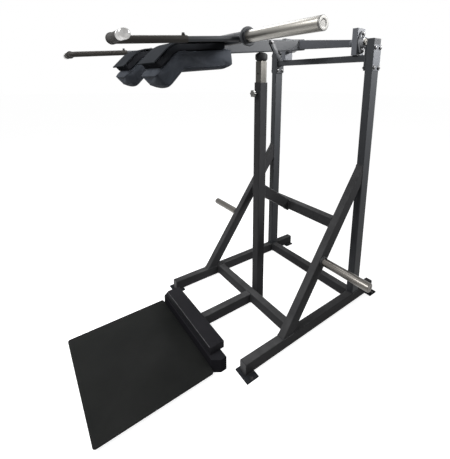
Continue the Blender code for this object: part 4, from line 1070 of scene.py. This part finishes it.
def pad_frames(x, rear, lift, nose, size, rounding=NO_ROUNDING, drop=0.0, bend_steps=10):
    """Frames along a line that lies lift above the cushion's back.

    size is the outline's. It narrows by rounding at its rear and at its nose, and there it
    loses the share drop of its thickness, all of it from below.
    """
    radius = PAD_THICKNESS + PAD_INNER_BEND + lift
    centre = Vector((x, PAD_BEND_Y, PAD_BACK - PAD_THICKNESS - PAD_INNER_BEND))
    ahead = Vector((0, -math.cos(NOSE_ANGLE), -math.sin(NOSE_ANGLE)))
    curve = [(0, 0)]
    if any(rounding):
        angles = [math.pi / 2 * k / ROUNDING_STEPS for k in range(ROUNDING_STEPS + 1)]
        curve = [(1 - math.cos(angle), 1 - math.sin(angle)) for angle in angles]
    start = Vector((x, rear, PAD_BACK + lift))
    points = [(start - Vector((0, rounding[0] * along, 0)), rounding[0] * inset)
              for along, inset in curve]
    for step in range(bend_steps + 1):
        turn = NOSE_ANGLE * step / bend_steps
        points.append((centre + radius * Vector((0, -math.sin(turn), math.cos(turn))), 0))
    end = points[-1][0] + ahead * nose
    points += [(end - ahead * rounding[1] * along, rounding[1] * inset)
               for along, inset in reversed(curve)]
    shaped = []
    for straight, (place, inset) in zip(frames_along([place for place, inset in points],
                                                     (1, 0, 0)), points):
        lost = drop * inset / max(*rounding, 1e-9)
        raised = Matrix.Translation((0, size[1] * lost / 2, 0))
        shaped.append(straight @ raised @ Matrix.Diagonal((1 - inset / size[0], 1 - lost, 1, 1)))
    return shaped


print("pads turn down by", round(math.degrees(NOSE_ANGLE)), "degrees")

# %% [markdown]
# A cushion is made as its maker makes it: cut a little small, then stuffed until the cover
# is tight. The swept shape is remeshed into even small squares, and Blender's Cloth blows it
# up with pressure for twenty frames. How far a point may move is capped, because firm foam
# keeps its shape. Its own edges stay rounder than its sides, so it pulls in at the seams.

# %% Stuffing by cloth simulation
VOXEL = 0.005
SOFTENING = 4
PRESSURE = 4.0
SIMULATED_FRAMES = 20


def evaluated(piece):
    return piece.evaluated_get(bpy.context.evaluated_depsgraph_get())


def worked_in(piece):
    """Gives a piece the mesh that its modifiers make, and takes them off."""
    bpy.context.view_layer.update()
    data = bpy.data.meshes.new_from_object(evaluated(piece))
    piece.modifiers.clear()
    piece.data = data


def stuffed(name, shape, cap):
    """Remeshes a closed shape and swells it. No point moves further than cap."""
    data = bpy.data.meshes.new(name)
    bmesh.ops.recalc_face_normals(shape, faces=shape.faces)
    shape.to_mesh(data)
    shape.free()
    piece = bpy.data.objects.new(name, data)
    scene.collection.objects.link(piece)
    remesh = piece.modifiers.new("even squares", "REMESH")
    remesh.mode = "VOXEL"
    remesh.voxel_size = VOXEL
    piece.modifiers.new("soften", "SMOOTH").iterations = SOFTENING
    worked_in(piece)
    cover = piece.modifiers.new("cover", "CLOTH").settings
    cover.use_pressure = True
    cover.uniform_pressure_force = PRESSURE
    cover.effector_weights.gravity = 0
    for number in range(1, SIMULATED_FRAMES + 1):
        scene.frame_set(number)
    swollen = evaluated(piece).data
    moves = [target.co - vert.co
             for vert, target in zip(piece.data.vertices, swollen.vertices)]
    largest = max(move.length for move in moves)
    piece.modifiers.clear()
    for vert, move in zip(piece.data.vertices, moves):
        vert.co += move * min(1, cap / max(move.length, 1e-9))
    scene.frame_set(1)
    print(name, "swelled by", round(largest * 1000, 1), "mm, capped at", cap * 1000)
    finer = piece.modifiers.new("finer", "SUBSURF")
    finer.levels = finer.render_levels = 1
    worked_in(piece)
    made = bmesh.new()
    made.from_mesh(piece.data)
    bpy.data.objects.remove(piece)
    return made


# %% [markdown]
# A seam is finished with a welt, a thin cord under vinyl. It follows the rim of the cushion,
# so its path is drawn just inside the rim, pulled onto the finished surface and smoothed.

# %% Welts
WELT_RADIUS = 0.0017
WELT_STEP = 0.006
WELT_INSET = 0.002
WELT_LIFT = 0.25
WELT_SMOOTHINGS = 3


def resampled(points, step, closed=True):
    """The same path with points at even distances."""
    corners = list(points) + ([points[0]] if closed else [])
    lengths = [(after - before).length for before, after in zip(corners, corners[1:])]
    count = max(2, round(sum(lengths) / step))
    made, travelled, leg = [], 0.0, 0
    for k in range(count + (0 if closed else 1)):
        target = sum(lengths) * k / count
        while leg < len(lengths) - 1 and travelled + lengths[leg] < target:
            travelled += lengths[leg]
            leg += 1
        share = min(1, (target - travelled) / max(lengths[leg], 1e-9))
        made.append(corners[leg].lerp(corners[leg + 1], share))
    return made


def welt(cover, loop):
    """A thin tube along a loop that is laid on the surface of a cover."""
    tree = BVHTree.FromBMesh(cover)
    points = resampled(loop, WELT_STEP)
    for smoothing in range(WELT_SMOOTHINGS):
        points = [(points[k - 1] + points[k] * 2 + points[(k + 1) % len(points)]) / 4
                  for k in range(len(points))]
        laid = [tree.find_nearest(point) for point in points]
        points = [spot + normal * WELT_RADIUS * WELT_LIFT for spot, normal, *rest in laid]
    frames = frames_along(points, (0.3, 0.5, 1), closed=True)
    return swept(ring_points(WELT_RADIUS, 8), frames, closed=True)


print("welts", 2 * WELT_RADIUS * 1000, "mm thick")

# %% [markdown]
# The cushion and the layer on its back are drawn once, for the right pad. Both are drawn
# smaller by a slack that the stuffing fills. The firm cushion swells most, while the layer is
# clamped between cushion and plate, and its underside sinks into the cushion. The cushion's
# underside hangs a little in the middle, where the shoulder goes.

# %% One pad's shapes
CUSHION_NOSE = 0.115
CUSHION_RISE = 0.013  # how far the cushion reaches up at the layer's cost
CUSHION_CROWN = 0.007
CUSHION_ROUNDING = (0.010, 0.018)
CUSHION_DROP = 0.30
CUSHION_SLACK = 0.0040
CUSHION_EXCESS = 0.0005  # how much more than its slack the cushion may swell
LAYER_THICKNESS = 0.043
LAYER_INSET = 0.007
LAYER_NOSE = 0.074
LAYER_REAR = -0.969
LAYER_ROUNDING = (0.009, 0.009)
LAYER_DROP = 0.08
LAYER_SLACK = 0.0020
LAYER_SINK = 0.006


def cushion_outline(width, thickness, low_ease, high_ease):
    """A section with round lower corners, a hanging belly and tighter upper corners."""
    corners = rectangle(width, thickness)
    low = eased(corners, low_ease, 5)
    high = eased(corners, high_ease, 5)
    belly = []
    for share in (-0.6, -0.4, -0.2, 0, 0.2, 0.4, 0.6):
        hang = CUSHION_CROWN * (1 - (share / 0.8) ** 2)
        belly.append(Vector((share * width / 2, -thickness / 2 - hang)))
    upper = [point for point in high if point.y > 0]
    left = [point for point in low if point.y < 0 and point.x < 0]
    right = [point for point in low if point.y < 0 and point.x > 0]
    return upper + left + belly + right


def cushion_with_welts():
    """The right pad's cushion and the welts along its upper and lower rim."""
    size = (PAD_WIDTH - 2 * CUSHION_SLACK, PAD_THICKNESS + CUSHION_RISE - 2 * CUSHION_SLACK)
    frames = pad_frames(PAD_X, PAD_REAR - CUSHION_SLACK, (CUSHION_RISE - PAD_THICKNESS) / 2,
                        CUSHION_NOSE - CUSHION_SLACK, size, CUSHION_ROUNDING, CUSHION_DROP)
    cushion = stuffed("cushion", swept(cushion_outline(*size, 0.020, 0.007), frames),
                      CUSHION_SLACK + CUSHION_EXCESS)
    shapes = [cushion]
    for height in (-1, 1):
        left, right = (Vector((across * (size[0] / 2 - WELT_INSET),
                               height * (size[1] / 2 - WELT_INSET), 0)) for across in (-1, 1))
        loop = [here @ left for here in frames] + [here @ right for here in reversed(frames)]
        shapes.append(welt(cushion, loop))
    return shapes


def back_layer():
    """The right pad's layer between the cushion and the plate."""
    depth = LAYER_THICKNESS - CUSHION_RISE + LAYER_SINK
    size = (PAD_WIDTH - 2 * LAYER_INSET - 2 * LAYER_SLACK, depth - 2 * LAYER_SLACK)
    frames = pad_frames(PAD_X, LAYER_REAR - LAYER_SLACK, LAYER_THICKNESS - depth / 2,
                        LAYER_NOSE - LAYER_SLACK, size, LAYER_ROUNDING, LAYER_DROP)
    return [stuffed("layer", swept(eased(rectangle(*size), 0.008, 4), frames), LAYER_SLACK)]


print("cushion", round(PAD_THICKNESS + CUSHION_RISE, 3), "m thick")

# %% [markdown]
# The left pad is the right one's mirror image. The cushion gives a little, and the clamped
# layer doesn't.

# %% Shoulder pads
PAD_SMOOTH = 60
PAD_PIECES = (
    ("pad_cushion", cushion_with_welts(), vinyl, ["shoulder_pad_{}"], 0.9),
    ("pad_layer", back_layer(), shade_vinyl_for_layers, [], 1.0),
)
for name, shapes, finish, stands_for, fill in PAD_PIECES:
    right = add_piece(f"{name}_right", shapes, finish, "lever",
                      [node.format("right") for node in stands_for], lever_place, PAD_SMOOTH)
    mirrored = bmesh.new()
    mirrored.from_mesh(right.data)
    bmesh.ops.scale(mirrored, vec=(-1, 1, 1), verts=mirrored.verts)
    left = add_piece(f"{name}_left", [mirrored], finish, "lever",
                     [node.format("left") for node in stands_for], None, PAD_SMOOTH)
    for pad in (right, left):
        print(pad.name, len(pad.data.polygons), "faces")

# %% [markdown]
# The backing plate is flat bar, bent once. Its rims are rounded, and they catch the light as
# a thin pale line. Four button heads hold the cushion, and a weld joins it to the cross tube.

# %% Backing plates
PLATE_THICKNESS = 0.006
PLATE_WIDTH = 0.186
PLATE_NOSE = 0.077
PLATE_GAP = 0.0003
PLATE_SINK = 0.0008
BUTTON_X = 0.058
BUTTON_Y = (-1.030, -1.150)
BUTTON = [(0, -0.001), (0.0085, -0.001), (0.0085, 0.001), (0.0060, 0.0042), (0.0030, 0.0046),
          (0.0026, 0.0025), (0, 0.0025)]

plate_size = (PLATE_WIDTH, PLATE_THICKNESS)
plate_middle = LAYER_THICKNESS + PLATE_GAP + PLATE_THICKNESS / 2
for side, word in SIDES:
    frames = pad_frames(side * PAD_X, cross_tube.y - TUBE_RADIUS + PLATE_SINK, plate_middle,
                        PLATE_NOSE, plate_size, bend_steps=14)
    add_piece(f"pad_plate_{word}", [swept(eased(rectangle(*plate_size), 0.0016, 3), frames)],
              shaded_matte_coat, "lever", [f"pad_bracket_{word}"], lever_place)
    top = PAD_BACK + plate_middle + PLATE_THICKNESS / 2
    buttons = [turned(BUTTON, Matrix.Translation((side * PAD_X + across, y, top)), 0.0012, 32)
               for across in (-BUTTON_X, BUTTON_X) for y in BUTTON_Y]
    add_piece(f"plate_screws_{word}", buttons, fastener, "lever", place=lever_place)
print("backing plates,", len(buttons), "buttons each")

# %% [markdown]
# A flat steel strap hangs from a bolt on the beam's right side. It is an outline like the
# others: a round top, a waist and a hooked foot.

# %% Latch strap
LATCH_PIVOT = Vector((0.0253, -0.461, 0.034))
LATCH_THICKNESS = 0.005
LATCH_HALF = 0.017
LATCH_REACH = 0.118
LATCH_LEAN = math.radians(28)
LATCH_BOLT = (0.016, 0.007)
ALONG_X = Matrix(((0, 0, 1), (1, 0, 0), (0, 1, 0))).to_4x4()

strap = [(math.cos(math.pi * k / 16), math.sin(math.pi * k / 16)) for k in range(17)]
strap = [(LATCH_HALF * x, LATCH_HALF * y) for x, y in strap]
strap += [(LATCH_HALF * x, -LATCH_REACH * y) for x, y in (
    (-1, 0.45), (-0.4, 1), (1.2, 1), (1.2, 0.82), (0.7, 0.78), (0.9, 0.45))]
strap_place = Matrix.Translation(LATCH_PIVOT) @ Matrix.Rotation(LATCH_LEAN, 4, "X") @ ALONG_X
add_piece("latch_strap", [plate(eased(strap, 0.004, 4), LATCH_THICKNESS, strap_place, 0.0009)],
          lit_upper_coat, "latch", ["latch_hook"], lever_place)
bolt_seat = LATCH_PIVOT + Vector((LATCH_THICKNESS, 0, 0))
add_piece("latch_bolt", bolt(bolt_seat, (1, 0, 0), *LATCH_BOLT), fastener, "latch",
          place=lever_place)
print("latch strap,", LATCH_REACH, "m")

# %% [markdown]
# The mat is a rubber sheet, cut with round corners, and the tread is a thick rubber block.
# A pale grey line runs along the tread's front edge. It is a painted highlight: the light
# that the rounded edge catches.

# %% Mat and tread
MAT_CORNER = 0.014
TREAD_ROUND = 0.006
TREAD_HIGHLIGHT_WIDTH = 0.0030
LINE_INSET = TREAD_ROUND * 0.30
LINE_MARGIN = 0.006

low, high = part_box("platform_mat")
size = high - low
outline = eased(rectangle(size.x, size.y), MAT_CORNER, 6)
mat_place = Matrix.Translation(((low.x + high.x) / 2, (low.y + high.y) / 2, low.z))
add_piece("mat_sheet", [plate(outline, size.z, mat_place, 0.0014, 3)],
          mat_rubber, "frame", ["platform_mat"])
low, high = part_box("toe_block_tread")
section = eased(rectangle(high.y - low.y, high.z - low.z), TREAD_ROUND, 5)
tread_place = Matrix.Translation((low.x, (low.y + high.y) / 2, (low.z + high.z) / 2)) @ ALONG_X
add_piece("tread_block", [plate(section, high.x - low.x, tread_place, 0.0035, 3)],
          tread_rubber, "frame", ["toe_block_tread"])
# a thin pale rod along the front edge: a painted highlight
line_ends = [Vector((x, low.y + LINE_INSET, high.z - LINE_INSET))
             for x in (low.x + LINE_MARGIN, high.x - LINE_MARGIN)]
add_piece("tread_highlight_line", [swept(ring_points(TREAD_HIGHLIGHT_WIDTH / 2, 10),
                               frames_along(line_ends, (0, 1, 0)))], painted_highlight, "frame")
print("mat", round(size.x, 3), "by", round(size.y, 3), "m")

# %% [markdown]
# Welds join the frame. A bead runs round the end of each tube, and the drops that the
# welder laid one after another leave it rippled. The end's outline comes from the node
# itself: its points that lie furthest along a direction, and the hull round them. The same
# random seed gives the same beads each time.

# %% Weld beads
BEAD_RADIUS = 0.0032
BEAD_STEP = 0.0034
RIM_DEPTH = 0.0006
WELD_SMOOTH = 80
random.seed(7)


def bead(points, across, closed=True):
    """A rippled bead along a path."""
    frames = frames_along(resampled(points, BEAD_STEP, closed), across, closed)
    swollen = [1 + 0.13 * math.sin(k * 2.1) + random.uniform(-0.08, 0.08)
               for k in range(len(frames))]
    if not closed:
        swollen[0] = swollen[-1] = 0.5
    rippled = [here @ Matrix.Diagonal((share, share, 1, 1))
               for here, share in zip(frames, swollen)]
    return swept(ring_points(BEAD_RADIUS, 8), rippled, closed)


def end_bead(node, direction):
    """A bead round the end of a node that faces a direction."""
    direction = Vector(direction)
    turn = direction.to_track_quat("Z", "Y").to_matrix()
    corners = [turn.transposed() @ vert.co for vert in nodes[node].data.vertices]
    edge = max(corner.z for corner in corners)
    rim = [corner for corner in corners if corner.z > edge - RIM_DEPTH]
    hull = [rim[k] for k in geometry.convex_hull_2d([corner.xy for corner in rim])]
    return bead([turn @ Vector((corner.x, corner.y, edge)) for corner in hull], direction)


def line_bead(start, end):
    return bead([Vector(start), Vector(end)], (0.2, 0.3, 1), closed=False)


print("a bead's drops lie", BEAD_STEP * 1000, "mm apart")

# %% [markdown]
# Members that meet another one at an end get a bead round that end. The pivot posts, the
# feet and the stop post only show a straight seam on each side.

# %% Welds on the frame
LEFT, RIGHT, FORWARD, BACKWARD, DOWN = (-1, 0, 0), (1, 0, 0), (0, -1, 0), (0, 1, 0), (0, 0, -1)
POST_SEAM_HALF = 0.019

ends = [(f"{member}_cross_member", way) for member in ("front", "rear") for way in (LEFT, RIGHT)]
ends += [("centre_rail", BACKWARD), ("centre_rail", FORWARD), ("brace_cross_member", LEFT),
         ("brace_cross_member", RIGHT), ("post_strut", FORWARD), ("post_strut", BACKWARD)]
for side, word in SIDES:
    ends += [(f"upright_{word}", DOWN), (f"brace_{word}", DOWN), (f"brace_{word}", BACKWARD)]
shapes = [end_bead(node, direction) for node, direction in ends]
for side, word in SIDES:
    low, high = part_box(f"pivot_post_{word}")
    for x in (low.x, high.x):
        shapes.append(line_bead((x, pivot.y - POST_SEAM_HALF, low.z),
                                (x, pivot.y + POST_SEAM_HALF, low.z)))
    rail_low, rail_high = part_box(f"rail_{word}")
    for end in ("front", "rear"):
        low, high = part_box(f"foot_{end}_{word}")
        for x in (rail_low.x, rail_high.x):
            shapes.append(line_bead((x, low.y + 0.020, rail_low.z),
                                    (x, high.y - 0.004, rail_low.z)))
    post_low, post_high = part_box("stop_post")
    x = side * (post_high.x - post_low.x) / 2
    member_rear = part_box("front_cross_member")[1].y
    shapes.append(line_bead((x, member_rear, post_low.z + 0.004),
                            (x, member_rear, post_low.z + 0.066)))
add_piece("frame_welds", shapes, weld, "frame", smooth_angle=WELD_SMOOTH)
print(len(shapes), "welds on the frame")

# %% [markdown]
# On the lever, two seams hold each backing plate to the cross tube, an arc joins the beam's
# side to the tube, and a bead runs round each arm where it meets the beam.

# %% Welds on the lever
SEAM_MARGIN = 0.004
ARC_DEGREES = range(-75, 50, 5)

shapes = []
for side, word in SIDES:
    for rise in (0, PLATE_THICKNESS):
        height = PAD_BACK + LAYER_THICKNESS + PLATE_GAP + rise
        y = cross_tube.y - math.sqrt(TUBE_RADIUS ** 2 - (height - cross_tube.z) ** 2)
        start, end = (side * PAD_X + share * (PLATE_WIDTH / 2 - SEAM_MARGIN) for share in (-1, 1))
        shapes.append(line_bead((start, y, height), (end, y, height)))
    arc = [cross_tube + TUBE_RADIUS * Vector((0, math.cos(angle), math.sin(angle)))
           for angle in map(math.radians, ARC_DEGREES)]
    arc = [Vector((side * 0.0252, point.y, point.z)) for point in arc]
    shapes.append(bead(arc, RIGHT, closed=False))
add_piece("lever_welds", shapes, weld, "lever", place=lever_place, smooth_angle=WELD_SMOOTH)
arm_welds = [end_bead(f"lever_arm_{word}", (-side, 0, 0)) for side, word in SIDES]
add_piece("arm_welds", arm_welds, weld, "lever", smooth_angle=WELD_SMOOTH)
print(len(shapes) + len(arm_welds), "welds on the lever")
